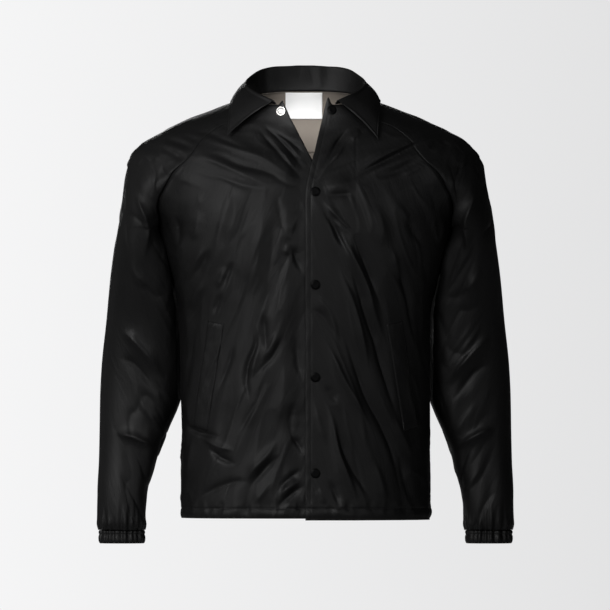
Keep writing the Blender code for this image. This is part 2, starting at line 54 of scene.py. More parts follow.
# %% Camera
MM = 0.001
PICTURE_WIDTH = 1.037
CAMERA_DISTANCE = 30.0
SENSOR_WIDTH = 36.0
PICTURE_MIDDLE = Vector((-0.0007, -0.07, -0.3434))

camera_data = bpy.data.cameras.new("camera")
camera_data.sensor_width = SENSOR_WIDTH
camera_data.lens = SENSOR_WIDTH * CAMERA_DISTANCE / PICTURE_WIDTH
camera = bpy.data.objects.new("camera", camera_data)
camera.location = PICTURE_MIDDLE - Vector((0, CAMERA_DISTANCE, 0))
camera.rotation_euler = (math.radians(90), 0, 0)
bpy.context.scene.collection.objects.link(camera)
bpy.context.scene.camera = camera
print("lens:", round(camera_data.lens, 1), "mm")

# %% [markdown]
# ## Sizes
# These are the jacket's own sizes in millimetres, the same as in the part: heights, the body's sections, the
# sleeves' sections and the seam lines. The wearer's left is +X, the front is -Y and up is +Z.

# %% Sizes of the jacket
NECK_Z = 7.0
ARMPIT_Z = -212.0
SHOULDER_CORNER_Z = -92.0
HEM_Z = -706.0
UPPER_LAP_HEM_Z = -709.0
HEM_STITCH_Z = -689.0
CUFF_TOP_Z = -727.0
CUFF_BOTTOM_Z = -750.0
SEAM_SETBACK = 0.15
ROUNDNESS = 2.3

BODY = (
    # z, half_width, front_depth, back_depth
    (7, 100, 83, 75),
    (5, 108, 84, 77),
    (-2, 129, 85, 80),
    (-7.5, 145, 86, 83),
    (-16.5, 169, 88, 88),
    (-31.5, 209, 93, 96),
    (-45, 238, 98, 103),
    (-56.5, 261, 103, 108),
    (-74, 283, 110, 116),
    (-92, 298, 118, 122),
    (-120, 286, 129, 128),
    (-148, 275, 138, 132),
    (-185, 262, 146, 134),
    (-212, 252, 149, 134),
    (-250, 243, 150, 133),
    (-300, 226, 149, 130),
    (-369, 213, 146, 126),
    (-450, 212, 142, 125),
    (-550, 212, 138, 127),
    (-709, 212, 135, 130),
)

SLEEVE = (
    # z, outer_x, inner_x, centre_y, front_radius, back_radius
    (-92, 298, 205, 2, 118, 122),
    (-103, 303, 209, 2, 112, 118),
    (-150, 311.5, 237, 4, 96, 104),
    (-212, 320.5, 241, 8, 88, 96),
    (-250, 326.5, 226, 14, 86, 92),
    (-300, 333, 214, 24, 80, 84),
    (-369, 339.5, 208, 36, 70, 72),
    (-450, 348, 205, 44, 60, 62),
    (-503, 350.5, 212, 46, 56, 58),
    (-566, 351.5, 237, 46, 52, 54),
    (-609, 352.5, 253, 44, 49, 50),
    (-664, 355, 268, 40, 46, 47),
    (-704, 354, 273, 38, 42, 42),
    (-727, 351, 275, 37, 33, 33),
)

RAGLAN_SEAMS = (
    # z, front_x, back_x
    (7, 92, 84),
    (-10, 100, 97),
    (-35, 150, 141),
    (-58, 175, 167),
    (-83, 191, 187),
    (-100, 205, 203),
    (-118, 222, 220),
    (-148, 237, 237),
    (-185, 250, 250),
    (-212, 252, 252),
)

FRONT_EDGES = (
    # z, upper_lap_x (left front), under_lap_x (right front)
    (7, 38.5, -39.5),
    (-4, 33.5, -33),
    (-13, 30.5, -28),
    (-27, 26.5, -20),
    (-54, 21, -8.5),
    (-80, 16, 3),
    (-96, 12, 11),
    (-117, 7, 20),
    (-140, 2, 27),
    (-163, 0, 32),
    (-200, 0, 34),
    (-709, 0, 34),
)
for title, table in (("body", BODY), ("sleeve", SLEEVE), ("raglan seams", RAGLAN_SEAMS), ("edges", FRONT_EDGES)):
    print(title, "from z", table[-1][0], "to", table[0][0], "in", len(table), "rows")

# %% [markdown]
# ## Folds
# Nylon folds in long soft ridges with a steeper side, and a few sharp troughs. A simulation would place them where
# it likes, and this jacket's folds have places: drag lines fan out from the top snap, troughs run down from the
# armpits, and deep creases sit in the elbows. So each fold is a drawn line, with a width, a height and a
# share that makes one of its sides steeper. A height of more than 0 is a ridge, and of less than 0 a trough.

# %% Folds drawn on the front, in the front view
FRONT_FOLDS = (
    # width, height, steeper side's share, then x, z of the points along it
    # Right chest: drag lines from the shoulder to the top snap
    (9.3, 3, 0.6, (-185, -52, -123, -75, -77, -92, -41, -114, 0, -141)),
    (6.8, -2.5, 0.7, (-89, -84, -135, -62, -162, -48, -211, -41)),
    (6.8, -3, 0.6, (0, -146, -33, -136, -65, -117, -114, -104, -143, -90, -189, -79)),
    (8.5, 2.5, 0.6, (-190, -83, -150, -101, -114, -118, -77, -134, -45, -143)),
    (6.8, -2.5, 0.7, (-50, -148, -101, -141, -138, -129, -174, -118, -202, -101)),
    # Right chest: drag lines from the collar to the top snap
    (6, -3, 0.6, (-82, -36, -58, -70, -29, -104, -2, -134)),
    (7.6, -3.6, 0.6, (-77, -24, -46, -58, -19, -92, 2, -120)),
    (4.2, 1.9, 0.7, (-16, -114, -36, -88, -58, -60)),
    (4.2, -2.2, 0.7, (-58, -38, -26, -63, 2, -90)),
    (5.1, 2.2, 0.7, (-3, -98, -26, -72, -50, -46)),
    # Right shoulder
    (6, -2.4, 0.7, (-176, -63, -195, -56, -213, -49)),
    (7, -3.5, 0.6, (-186, -78, -216, -65, -250, -56)),
    (7, -3.5, 0.6, (-201, -99, -223, -87, -247, -73)),
    (6, -2.4, 0.7, (-214, -113, -232, -101, -250, -87)),
    (9, -3.8, 0.6, (-225, -127, -259, -107, -284, -97)),
    (6, 2.4, 0.7, (-250, -66, -218, -77, -194, -89)),
    (7, 2.1, 0.7, (-272, -84, -240, -98, -214, -104)),
    # Right front above the pocket
    (20, 7, 1, (-188, -84, -214, -118, -236, -160, -246, -215)),
    (9, -3, 0.7, (-222, -190, -217, -215, -216, -245)),
    (9, 2.5, 0.8, (-194, -238, -186, -216, -181, -180)),
    (7, -3.5, 0.7, (-162, -245, -177, -274, -197, -305)),
    (7, 3, 0.8, (-205, -310, -185, -272, -172, -240)),
    (6, -3.5, 0.7, (-121, -267, -133, -291, -143, -320)),
    (6, 2.5, 0.8, (-150, -318, -142, -298, -134, -276)),
    (7, -3, 0.7, (-48, -158, -42, -196, -30, -232)),
    (7, 2.5, 0.8, (-28, -228, -16, -198, -4, -174)),
    (7, -5, 0.6, (-22, -238, -15, -268, -3, -294)),
    (6, 2.5, 0.8, (-34, -262, -30, -248, -26, -234)),
    (15, 3.5, 0.9, (-98, -330, -76, -250, -72, -180)),
    (12, -3, 0.8, (-60, -210, -58, -250, -68, -320)),
    (13, 2.5, 0.9, (-140, -240, -120, -190, -128, -150)),
    (7, -3.5, 0.7, (-164, -307, -187, -350, -204, -386)),
    (6, 3, 0.8, (-196, -352, -184, -326, -172, -298)),
    (5, -2.5, 0.8, (-140, -322, -149, -340, -158, -362)),
    # Right front below the chest
    (6.5, -5.5, 0.6, (-88, -374, -85, -409, -98, -445, -101, -478, -92, -511)),
    (7, 3.5, 0.8, (-94, -474, -86, -440, -77, -398)),
    (7.5, -4, 0.7, (-73, -352, -69, -399, -65, -428)),
    (5.5, -5, 0.6, (-36, -391, -56, -429, -86, -463)),
    (6, 3, 0.8, (-76, -440, -58, -414, -46, -384)),
    (8, -4, 0.7, (-69, -463, -79, -504, -95, -530, -117, -566)),
    (8, 3.5, 0.8, (-104, -560, -84, -520, -58, -470)),
    (5, -3, 0.7, (-121, -408, -134, -450, -151, -491)),
    (6, -3, 0.7, (-189, -392, -199, -450, -206, -505)),
    (14, 3.5, 0.9, (-46, -545, -36, -480, -38, -425)),
    (8, -4.5, 0.7, (-17, -390, -13, -440, -4, -482)),
    (12, -4.5, 0.7, (-20, -505, -26, -545, -18, -580)),
    # Right front below the pocket
    (5, -4.5, 0.6, (-205, -541, -187, -559, -143, -568)),
    (6.5, 4, 0.7, (-180, -565, -148, -584, -119, -591)),
    (6.5, -4.5, 0.6, (-166, -584, -144, -603, -116, -614)),
    (5, 3.5, 0.7, (-204, -648, -197, -612, -191, -564)),
    (8, -3.5, 0.7, (-93, -641, -128, -645, -167, -662, -186, -682)),
    (9, 6, 0.6, (-102, -645, -85, -622, -62, -596, -47, -570)),
    (7.5, -6, 0.6, (-42, -596, -69, -620, -98, -657)),
    (6, -4.5, 0.6, (-24, -566, -13, -580, -2, -600)),
    (6, -4.5, 0.6, (-6, -620, -33, -642, -48, -661)),
    (6.5, -6, 0.5, (0, -647, -26, -665, -50, -688)),
    (6, 4.5, 0.7, (-46, -669, -24, -651, -2, -636)),
    (7, 3, 0.8, (-90, -684, -72, -662, -56, -640)),
    # Right sleeve
    (5, -4.5, 0.5, (-285, -101, -269, -143, -249, -194)),
    (9, 2.6, 0.8, (-258, -186, -270, -150, -279, -118)),
    (8, -5.2, 0.6, (-281, -172, -262, -208, -246, -244)),
    (5, -3.8, 0.6, (-302, -188, -279, -220, -258, -262)),
    (7, 2.6, 0.8, (-262, -240, -280, -205, -296, -176)),
    (12, 2.2, 0.9, (-318, -290, -308, -250, -304, -215)),
    (9, -3, 0.7, (-328, -282, -305, -310, -283, -326, -244, -331)),
    (10, -3.4, 0.7, (-288, -334, -270, -372, -256, -408)),
    (7, -3.4, 0.6, (-289, -388, -308, -367, -334, -359)),
    (4.5, -3.8, 0.5, (-345, -394, -325, -409, -304, -436)),
    (6.5, -6, 0.45, (-330, -396, -285, -409, -259, -435, -243, -461, -234, -485, -240, -502)),
    (8, 3.8, 0.7, (-318, -384, -284, -396, -252, -424)),
    (6, -3.8, 0.6, (-250, -460, -272, -474, -298, -486)),
    (7, 3, 0.7, (-300, -488, -260, -507, -232, -527)),
    (7, -6.8, 0.45, (-312, -579, -292, -561, -262, -557, -229, -546)),
    (9, 3.4, 0.7, (-306, -545, -270, -540, -240, -530)),
    (9, 3, 0.7, (-302, -594, -270, -580, -246, -570)),
    (5, 2.6, 0.8, (-333, -688, -337, -610, -338, -548)),
    (9, -2.6, 0.7, (-296, -608, -304, -640, -296, -676)),
    (6, -2.2, 0.7, (-282, -610, -276, -640, -278, -672)),
    # Left chest: drag lines from the top snap
    (6.5, 6, 0.6, (18, -137, 40, -104, 59, -82, 70, -61)),
    (8, -6, 0.6, (77, -31, 54, -66, 40, -94, 18, -128)),
    (5, 2.5, 0.8, (78, -64, 86, -50, 94, -36)),
    (9, 6, 0.6, (78, -126, 100, -111, 132, -90, 171, -68, 205, -51, 230, -41)),
    (7.5, -5.5, 0.6, (206, -61, 181, -75, 142, -95, 103, -114, 82, -132)),
    (7, 4.5, 0.7, (96, -131, 122, -114, 161, -99, 200, -78)),
    (6.5, -3.5, 0.7, (206, -91, 165, -112, 118, -130)),
    (6, 3, 0.8, (160, -128, 185, -112, 208, -98)),
    (14, 3.5, 0.8, (28, -146, 54, -140, 84, -132)),
    (6, -3.5, 0.7, (88, -153, 56, -156, 26, -157)),
    (6.5, -6.5, 0.6, (21, -162, 45, -204, 59, -233, 74, -262)),
    (5.5, 5, 0.6, (86, -224, 59, -200, 32, -164)),
    (4.5, -4, 0.6, (40, -184, 59, -204, 81, -223)),
    (9, -6.5, 0.6, (62, -238, 74, -262, 88, -311, 102, -360, 119, -409, 132, -458, 148, -511, 166, -554)),
    (8, 5.5, 0.6, (138, -414, 118, -362, 108, -320, 98, -294, 81, -259, 50, -202)),
    (6.5, -4, 0.7, (84, -224, 95, -257, 112, -301, 126, -344)),
    # Left front above and beside the pocket
    (8, 5.5, 0.6, (109, -455, 96, -393, 83, -344, 66, -301, 52, -262)),
    (8, -6, 0.6, (150, -254, 161, -291, 170, -320, 178, -360, 188, -416)),
    (6, 3.5, 0.8, (164, -306, 155, -275, 147, -246)),
    (7, -3.5, 0.7, (170, -190, 181, -218, 196, -244)),
    (20, 7, 1, (188, -84, 214, -118, 236, -160, 246, -215)),
    (5, 3, 0.8, (228, -246, 232, -220, 235, -194)),
    (13, 3, 0.9, (128, -250, 130, -210, 120, -170)),
    (7, 5, 0.6, (56, -406, 50, -380, 37, -350, 10, -319)),
    (6.5, -5, 0.6, (6, -349, 30, -363, 52, -405)),
    (9, 6, 0.6, (116, -566, 96, -524, 66, -471, 40, -416, 10, -370)),
    (9, -6, 0.6, (55, -362, 79, -432, 102, -498, 128, -547, 148, -596, 169, -684)),
    # Left front, lower part
    (8, 6, 0.6, (91, -684, 76, -642, 57, -590, 43, -530, 26, -482)),
    (8, -5, 0.6, (49, -543, 66, -596, 89, -639, 115, -676)),
    (6, -3.5, 0.7, (32, -478, 42, -494, 55, -513)),
    (6, 4, 0.7, (39, -582, 27, -552, 14, -500)),
    (5, 3.5, 0.7, (34, -684, 29, -668, 23, -650)),
    (6, -4, 0.7, (38, -638, 50, -664, 59, -690)),
    (8, 3, 0.8, (184, -606, 166, -566, 148, -528)),
    (8, -3, 0.8, (160, -596, 169, -640, 179, -684)),
    (8, 3, 0.8, (138, -684, 128, -640, 116, -606)),
    # Left sleeve
    (8, -8, 0.5, (298, -96, 292, -148, 275, -196, 256, -236)),
    (6, 4.5, 0.7, (272, -240, 281, -216, 297, -168)),
    (6, -5, 0.6, (310, -193, 290, -226, 273, -254)),
    (9, 4, 0.7, (296, -286, 304, -257, 311, -206)),
    (5, -4, 0.6, (279, -275, 288, -303, 298, -320)),
    (5, 3.5, 0.7, (294, -322, 280, -312, 268, -302)),
    (10, 4.5, 0.8, (249, -488, 260, -409, 267, -386, 277, -356, 294, -325)),
    (10, -6, 0.7, (341, -429, 305, -465, 286, -514, 260, -563)),
    (10, 3, 0.8, (295, -626, 299, -580, 310, -520)),
    (9, -3, 0.8, (341, -552, 326, -610, 321, -648)),
    (6, -5, 0.6, (207, -76, 232, -70, 252, -62)),
    (6, 3, 0.8, (212, -82, 226, -76, 244, -66)),
    (6, 3, 0.8, (258, -122, 266, -104, 272, -90)),
    (8, -4, 0.7, (300, -585, 282, -598, 262, -592)),
)

# %% Folds drawn on the back, in the front view
BACK_FOLDS = (
    (11.05, -8, 0.6, (-120, -60, -165, -105, -215, -190)),
    (11.05, -8, 0.6, (125, -55, 170, -110, 212, -200)),
    (11.9, 5.1, 0.8, (-90, -80, -130, -130, -170, -220)),
    (11.9, 5.1, 0.8, (95, -78, 136, -140, 176, -230)),
    (10.2, -5.8, 0.7, (-70, -120, 0, -138, 76, -116)),
    (10.2, 4.3, 0.8, (-80, -150, 0, -168, 84, -150)),
    (11.05, -8, 0.6, (-205, -250, -150, -330, -110, -430)),
    (11.05, -8, 0.6, (200, -240, 160, -330, 100, -450)),
    (11.9, 6.5, 0.6, (-40, -380, -60, -470, -50, -580)),
    (10.2, -7.2, 0.6, (60, -400, 45, -500, 75, -640)),
    (10.2, -5.8, 0.7, (-150, -480, -120, -560, -130, -660)),
    (11.05, 5.8, 0.7, (150, -500, 170, -580, 155, -670)),
    (8.5, -5.1, 0.7, (-20, -560, -12, -620, -26, -680)),
    (8.5, 5.1, 0.7, (110, -560, 100, -620, 118, -684)),
    (10.2, -5.8, 0.6, (0, -250, 20, -330, 10, -400)),
    (10.2, -9.4, 0.6, (-332, -380, -290, -405, -240, -470)),
    (10.2, -9.4, 0.6, (332, -390, 290, -416, 240, -480)),
    (9.35, 5.8, 0.7, (-328, -430, -290, -446, -250, -500)),
    (9.35, 5.8, 0.7, (328, -440, 290, -456, 250, -508)),
    (9.35, -8.7, 0.6, (-330, -560, -290, -570, -255, -590)),
    (9.35, -8.7, 0.6, (330, -550, 290, -565, 258, -590)),
    (9.35, -8, 0.6, (-290, -150, -270, -210, -275, -270)),
    (9.35, -8, 0.6, (290, -150, 272, -205, 278, -265)),
    (8.5, -5.8, 0.7, (-310, -250, -290, -290, -262, -320)),
    (8.5, -5.8, 0.7, (310, -255, 288, -300, 262, -326)),
)


# %% Small creases scattered between them
def scattered_folds(seed, count, corner, size, slant, heights):
    """Small creases in a rectangle of the front view, which all run down at about one slant."""
    random = np.random.default_rng(seed)
    folds = []
    for _ in range(count):
        x, z = np.array(corner) + random.uniform(0, 1, 2) * size
        length = random.uniform(50, 150)
        lean = slant + random.uniform(-0.15, 0.15)
        bend = random.uniform(-5, 5)
        height = random.uniform(*heights) * random.choice([-1, 1])
        line = (x, z, x + lean * length / 2 + bend, z - length / 2, x + lean * length, z - length)
        folds.append((random.uniform(4.0, 6.5), height, random.uniform(0.5, 0.9), line))
    return tuple(folds)


# seed, count, corner, size, slant, heights
FRONT_FOLDS += scattered_folds(1, 12, (-185, -560), (140, 300), -0.35, (0.5, 1.2))
FRONT_FOLDS += scattered_folds(2, 14, (45, -560), (110, 340), 0.35, (0.5, 1.2))
FRONT_FOLDS += scattered_folds(3, 9, (-330, -600), (50, 400), 0.4, (0.5, 1.3))
FRONT_FOLDS += scattered_folds(4, 9, (280, -600), (50, 400), -0.4, (0.5, 1.3))
BACK_FOLDS += scattered_folds(5, 24, (-190, -640), (370, 560), 0.15, (0.8, 2.2))
BACK_FOLDS += scattered_folds(6, 12, (-330, -640), (60, 460), 0.6, (0.8, 2.0))
BACK_FOLDS += scattered_folds(7, 12, (270, -640), (60, 460), -0.6, (0.8, 2.0))
print(len(FRONT_FOLDS), "folds on the front,", len(BACK_FOLDS), "on the back")

# %% [markdown]
# ## Curves and noise
# Three small helpers carry the whole form: a smooth curve through the rows of a table, a value that eases from 0 to
# 1, and soft random bumps in space. The bumps are drawn once from a seed, so each run gives the same cloth.

# %% Curves and noise
LATTICE = 32


def smooth(z, table, column):
    """Value of one column of a table at z, on a monotone cubic curve through the rows."""
    rows = sorted(table, key=lambda row: row[0])
    x = np.array([row[0] for row in rows], float)
    y = np.array([row[column] for row in rows], float)
    step = np.diff(x)
    slope = np.diff(y) / step
    tangent = np.zeros_like(y)
    product = slope[1:] * slope[:-1]
    total = np.where(product > 0, slope[1:] + slope[:-1], 1)
    tangent[1:-1] = np.where(product > 0, 2 * product / total, 0)
    tangent[0], tangent[-1] = slope[0], slope[-1]
    z = np.clip(np.asarray(z, float), x[0], x[-1])
    i = np.clip(np.searchsorted(x, z) - 1, 0, len(x) - 2)
    t = (z - x[i]) / step[i]
    return (
        y[i] * (1 + 2 * t) * (1 - t) ** 2
        + tangent[i] * step[i] * t * (1 - t) ** 2
        + y[i + 1] * t**2 * (3 - 2 * t)
        + tangent[i + 1] * step[i] * t**2 * (t - 1)
    )


def ease(value):
    """0 below 0, 1 above 1 and smooth between."""
    value = np.clip(value, 0, 1)
    return value * value * (3 - 2 * value)


def soft_noise(points, size, seed):
    """Smooth random values from -1 to 1 in space, with bumps of about that size in mm."""
    values = np.random.default_rng(seed).uniform(-1, 1, (LATTICE,) * 3)
    place = points / size + 1000.0
    cell = np.floor(place).astype(int)
    t = place - cell
    t = t * t * (3 - 2 * t)
    total = np.zeros(points.shape[:-1])
    for corner in np.ndindex(2, 2, 2):
        share = np.prod(np.where(corner, t, 1 - t), axis=-1)
        at = (cell + corner) % LATTICE
        total += share * values[at[..., 0], at[..., 1], at[..., 2]]
    return total


def curve_through(line, parts=6):
    """Points along a smooth curve through the points of a fold's line."""
    nodes = np.array(line, float).reshape(-1, 2)
    ends = np.concatenate([[2 * nodes[0] - nodes[1]], nodes, [2 * nodes[-1] - nodes[-2]]])
    path = []
    for p0, p1, p2, p3 in zip(ends, ends[1:], ends[2:], ends[3:]):
        for t in np.linspace(0, 1, parts, endpoint=False):
            path.append(
                0.5 * (2 * p1 + (p2 - p0) * t + (2 * p0 - 5 * p1 + 4 * p2 - p3) * t**2
                       + (3 * p1 - p0 - 3 * p2 + p3) * t**3)
            )
    path.append(nodes[-1])
    return np.array(path)


# %% [markdown]
# ## The relief of the folds
# Each point of the cloth looks for the nearest place on a fold's line. The further away, the lower the fold, on a
# curve with a crisp crest that is narrower on the steep side. The ends fade out and grow thinner. Near the front
# lap the cloth is doubled and stitched, so the folds are lower there, and flat under each snap.

# %% The relief of the folds
CREST_POWER = 1.25
FOLD_GAIN = 1.2
FOLD_SPREAD = 2.8
FADE_IN = 0.36
FADE_OUT = 0.42
END_WIDTH = 0.5
SNAP_X = 17.0
SNAP_HEIGHTS = (-151, -309, -466, -629)
NECK_CAP_AT = (45.0, -12.0)
NECK_STUD_AT = (-41.5, -14.0)
FLAT_ROUND_SNAP = 13.0
LAP_SHARE = 0.5
LAP_HALF_WIDTH = 20.0
LAP_FADE_WIDTH = 40.0


def fold_relief(x, z, folds):
    """Height of all the folds together at each x and z of the front view."""
    total = np.zeros_like(x)
    for width, height, steep, line in folds:
        path = curve_through(line)
        low, high = path.min(axis=0) - FOLD_SPREAD * width, path.max(axis=0) + FOLD_SPREAD * width
        near = (x > low[0]) & (x < high[0]) & (z > low[1]) & (z < high[1])
        px, pz = x[near], z[near]
        steps = np.diff(path, axis=0)
        lengths = np.hypot(steps[:, 0], steps[:, 1])
        begun = np.concatenate([[0], np.cumsum(lengths)])
        nearest = np.full_like(px, np.inf)
        along = np.zeros_like(px)
        side = np.zeros_like(px)
        for (ax, az), (sx, sz), length, start in zip(path, steps, lengths, begun):
            share = np.clip(((px - ax) * sx + (pz - az) * sz) / length**2, 0, 1)
            dx, dz = px - ax - share * sx, pz - az - share * sz
            away = np.hypot(dx, dz)
            closer = away < nearest
            along = np.where(closer, (start + share * length) / begun[-1], along)
            side = np.where(closer, np.sign(sx * dz - sz * dx), side)
            nearest = np.where(closer, away, nearest)
        fade = ease(along / FADE_IN) * ease((1 - along) / FADE_OUT)
        reach = width * np.where(side > 0, 1, steep) * (END_WIDTH + (1 - END_WIDTH) * fade)
        total[near] += FOLD_GAIN * height * np.exp(-((nearest / reach) ** CREST_POWER)) * fade
    return total


def lap_calm(x, z):
    """1 away from the front lap and its snaps, less on the lap and 0 at each snap."""
    beside = ease((LAP_FADE_WIDTH - np.abs(x - SNAP_X)) / (LAP_FADE_WIDTH - LAP_HALF_WIDTH))
    calm = 1 - (1 - LAP_SHARE) * beside
    spots = [(SNAP_X, height) for height in SNAP_HEIGHTS] + [NECK_CAP_AT, NECK_STUD_AT]
    for spot_x, spot_z in spots:
        away = np.hypot(x - spot_x, z - spot_z)
        calm = calm * (1 - np.exp(-((away / FLAT_ROUND_SNAP) ** 2)))
    return calm


print("one fold alone, 10 high, at its line:", fold_relief(np.zeros(1), np.zeros(1), [(8, 10, 1, (0, 50, 0, -50))]))


# %% [markdown]
# ## The body's sections
# The body is a stack of rounded sections. Going round one of them by an angle gives a point of the front or the
# back, and its normal tells which way the cloth moves where it folds. A panel's row has points close together by
# its stitches and seams. Above the armpit the raglan seam cuts the rows short, and there the last few columns are
# pressed into a margin by the seam, so that the others run straight on and leave no mark across the cloth.

# %% The body's sections
SEAM_MARGIN = 75.0
LEAST_MARGIN = 12.0
MARGIN_COLUMNS = 14
ARC_POINTS = 401
ROW_POINTS = 801


def signed_power(value, power):
    return np.sign(value) * np.abs(value) ** power


def half_width(z):
    return smooth(z, BODY, 1)


def ring(z, angle, width=None):
    """Points of the body's section at height z; angle 0 is the centre front, pi the centre back."""
    width = half_width(z) if width is None else width
    depth = np.where(np.cos(angle) > 0, smooth(z, BODY, 2), smooth(z, BODY, 3))
    x = width * signed_power(np.sin(angle), 2 / ROUNDNESS)
    y = -depth * signed_power(np.cos(angle), 2 / ROUNDNESS)
    return np.stack([x, y, np.full_like(x, z)], axis=-1)


def angle_at(x, width):
    """Angle from the centre front at which a section has this x."""
    share = np.clip(abs(x) / width, 0, 1) ** (ROUNDNESS / 2)
    return float(np.sign(x) * np.arcsin(share))


def section_out(points):
    """Level directions straight out of the body's sections."""
    x, y, z = points[..., 0], points[..., 1], points[..., 2]
    width = half_width(z)
    depth = np.where(y < 0, smooth(z, BODY, 2), smooth(z, BODY, 3))
    out_x = signed_power(x / width, ROUNDNESS - 1) / width
    out_y = signed_power(y / depth, ROUNDNESS - 1) / depth
    length = np.maximum(np.hypot(out_x, out_y), 1e-9)
    return np.stack([out_x / length, out_y / length, np.zeros_like(x)], axis=-1)


def row_steps(total, count, at_start, at_end, margin=None):
    """Distances along a row: close together near its ends, and even between.

    With a margin, its last MARGIN_COLUMNS share that length before the end, and the others the rest.
    """
    inner = count - len(at_start) - len(at_end)
    middle = np.linspace(at_start[-1], total - at_end[-1], inner + 2)[1:-1]
    if margin is not None:
        knee = total - margin
        even = np.linspace(at_start[-1], knee, inner - MARGIN_COLUMNS + 1)[1:]
        squeezed = np.linspace(knee, total - at_end[-1], MARGIN_COLUMNS + 2)[1:-1]
        middle = np.concatenate([even, squeezed])
    return np.concatenate([at_start, middle, total - np.array(at_end[::-1])])


def arc_length(z, start, end):
    """Length of a section's edge from one angle to another."""
    points = ring(z, np.linspace(start, end, ARC_POINTS))
    return float(np.linalg.norm(np.diff(points, axis=0), axis=1).sum())


def ring_row(z, start, end, count, at_start, at_end, margin=None):
    """One row of a panel on a section, from one angle to another, with its steps as row_steps gives them."""
    fine = np.linspace(start, end, ROW_POINTS)
    points = ring(z, fine)
    length = np.concatenate([[0], np.cumsum(np.linalg.norm(np.diff(points, axis=0), axis=1))])
    return ring(z, np.interp(row_steps(length[-1], count, at_start, at_end, margin), length, fine))


for height in (ARMPIT_Z, HEM_Z):
    print("girth at z", height, "is", round(2 * arc_length(height, 0, math.pi)), "mm")


# %% [markdown]
# ## From a flat form to cloth
# The neckline climbs towards the back. Then three kinds of relief are added along the normals: the drawn folds, the
# light crumple that nylon keeps everywhere, and the puckers that a sewing machine leaves beside its stitches. The
# crumple is noise in places that are turned to a lean and pressed together along it, which makes it streaks. They
# run down and out from the centre, down and in on the sleeves, and towards the top snap on the chest.

# %% From a flat form to cloth
NECK_DEPTH = 80.0
NECK_CLIMB = 12.5
NECK_CURVE = 2.5
NECK_REACH = 90.0
CRUMPLE = (
    # size across the streaks, height, seed
    (44.0, 2.5, 11),
    (21.0, 1.6, 12),
    (11.0, 0.55, 13),
)
CREASE_SIZE = 27.0
CREASE_HEIGHT = 1.6
RIDGE_SHARPNESS = 2.6
RIDGE_FLOOR = -0.4
STREAK_LEAN = 0.36
STREAK_LENGTH = 5.5
STREAK_DEPTH = 0.7
SLEEVE_START_X = 215.0
SIDE_BLEND = 40.0
SLEEVE_SHARE = 0.35
CHEST_LEAN = 1.17
CHEST_Z = -165.0
CHEST_END_X = 260.0
CHEST_BLEND = 45.0
CHEST_MIDDLE_BLEND = 30.0
CHEST_FRONT_BLEND = 20.0
CHEST_SHARE = 0.7
SIDE_SHARPNESS = 1.6
LAP_CRUMPLE = 0.25
NECK_CALM = 4.0
NECK_CALM_BLEND = 25.0
SEAM_DEPTH = 0.5
SEAM_WIDTH = 1.7
PUCKER_SIZE = 9.0
SEAM_PUCKER = 0.7
SEAM_PUCKER_REACH = 9.0


def raise_neckline(points):
    y, z = points[..., 1], points[..., 2]
    share = y / NECK_DEPTH
    climb = ease(1 + z / NECK_REACH) * (NECK_CLIMB * share + NECK_CURVE * share**2)
    raised = points.copy()
    raised[..., 2] += climb
    return raised


def slanted(points, lean):
    """Places turned by a lean in the front view and pressed together along it, which makes noise streaky."""
    x, y, z = points[..., 0], points[..., 1], points[..., 2]
    across = x * math.cos(lean) + z * math.sin(lean)
    along = x * math.sin(lean) - z * math.cos(lean)
    return np.stack([across, y * STREAK_DEPTH, along / STREAK_LENGTH], axis=-1)


def streaks(places, seed):
    """Long uneven ridges, most of them low."""
    total = sum(height * soft_noise(places, size, seed + own) for size, height, own in CRUMPLE)
    ridge = 1 - np.abs(soft_noise(places, CREASE_SIZE, seed)) * RIDGE_SHARPNESS
    return total + CREASE_HEIGHT * np.clip(ridge, RIDGE_FLOOR, 1) ** 3


def hanging_streaks(points):
    """Streaks that run down and out from the centre, and down and in on the sleeves."""
    x = points[..., 0]
    on_body = ease((x + SIDE_BLEND) / (2 * SIDE_BLEND)) * (1 - ease((x - SLEEVE_START_X) / SIDE_BLEND))
    rightwards = on_body + ease((-x - SLEEVE_START_X) / SIDE_BLEND)
    one = streaks(slanted(points, STREAK_LEAN), 100)
    other = streaks(slanted(points, -STREAK_LEAN), 200)
    on_sleeve = ease((np.abs(x) - SLEEVE_START_X) / SIDE_BLEND)
    return (one * rightwards + other * (1 - rightwards)) * (1 + SLEEVE_SHARE * on_sleeve)


def crumple(points):
    """Hanging streaks, and on the front of the chest streaks that run to the top snap."""
    hanging = hanging_streaks(points)
    if points[..., 1].min() > 0:
        return hanging
    x, y, z = points[..., 0], points[..., 1], points[..., 2]
    to_left = ease((x + CHEST_MIDDLE_BLEND) / (2 * CHEST_MIDDLE_BLEND))
    dragged = streaks(slanted(points, CHEST_LEAN), 300) * (1 - to_left)
    dragged += streaks(slanted(points, -CHEST_LEAN), 400) * to_left
    on_chest = ease((z - CHEST_Z) / CHEST_BLEND) * ease((CHEST_END_X - np.abs(x)) / SIDE_BLEND)
    on_chest = on_chest * ease(-y / CHEST_FRONT_BLEND)
    return hanging * (1 - on_chest) + CHEST_SHARE * dragged * on_chest


def below_neck(z):
    """0 at the neck seam and 1 a little below it."""
    return ease((-z - NECK_CALM) / NECK_CALM_BLEND)


def cloth_relief(points, out):
    """Folds and crumple at each point, quieter on the lap and by the neck seam."""
    x, z = points[..., 0], points[..., 2]
    front = fold_relief(x, z, FRONT_FOLDS) * lap_calm(x, z) * ease(-SIDE_SHARPNESS * out[..., 1])
    back = fold_relief(x, z, BACK_FOLDS) * ease(SIDE_SHARPNESS * out[..., 1])
    calm = LAP_CRUMPLE + (1 - LAP_CRUMPLE) * lap_calm(x, z) if points[..., 1].min() < 0 else 1
    return (front + back + crumple(points) * calm) * below_neck(z)


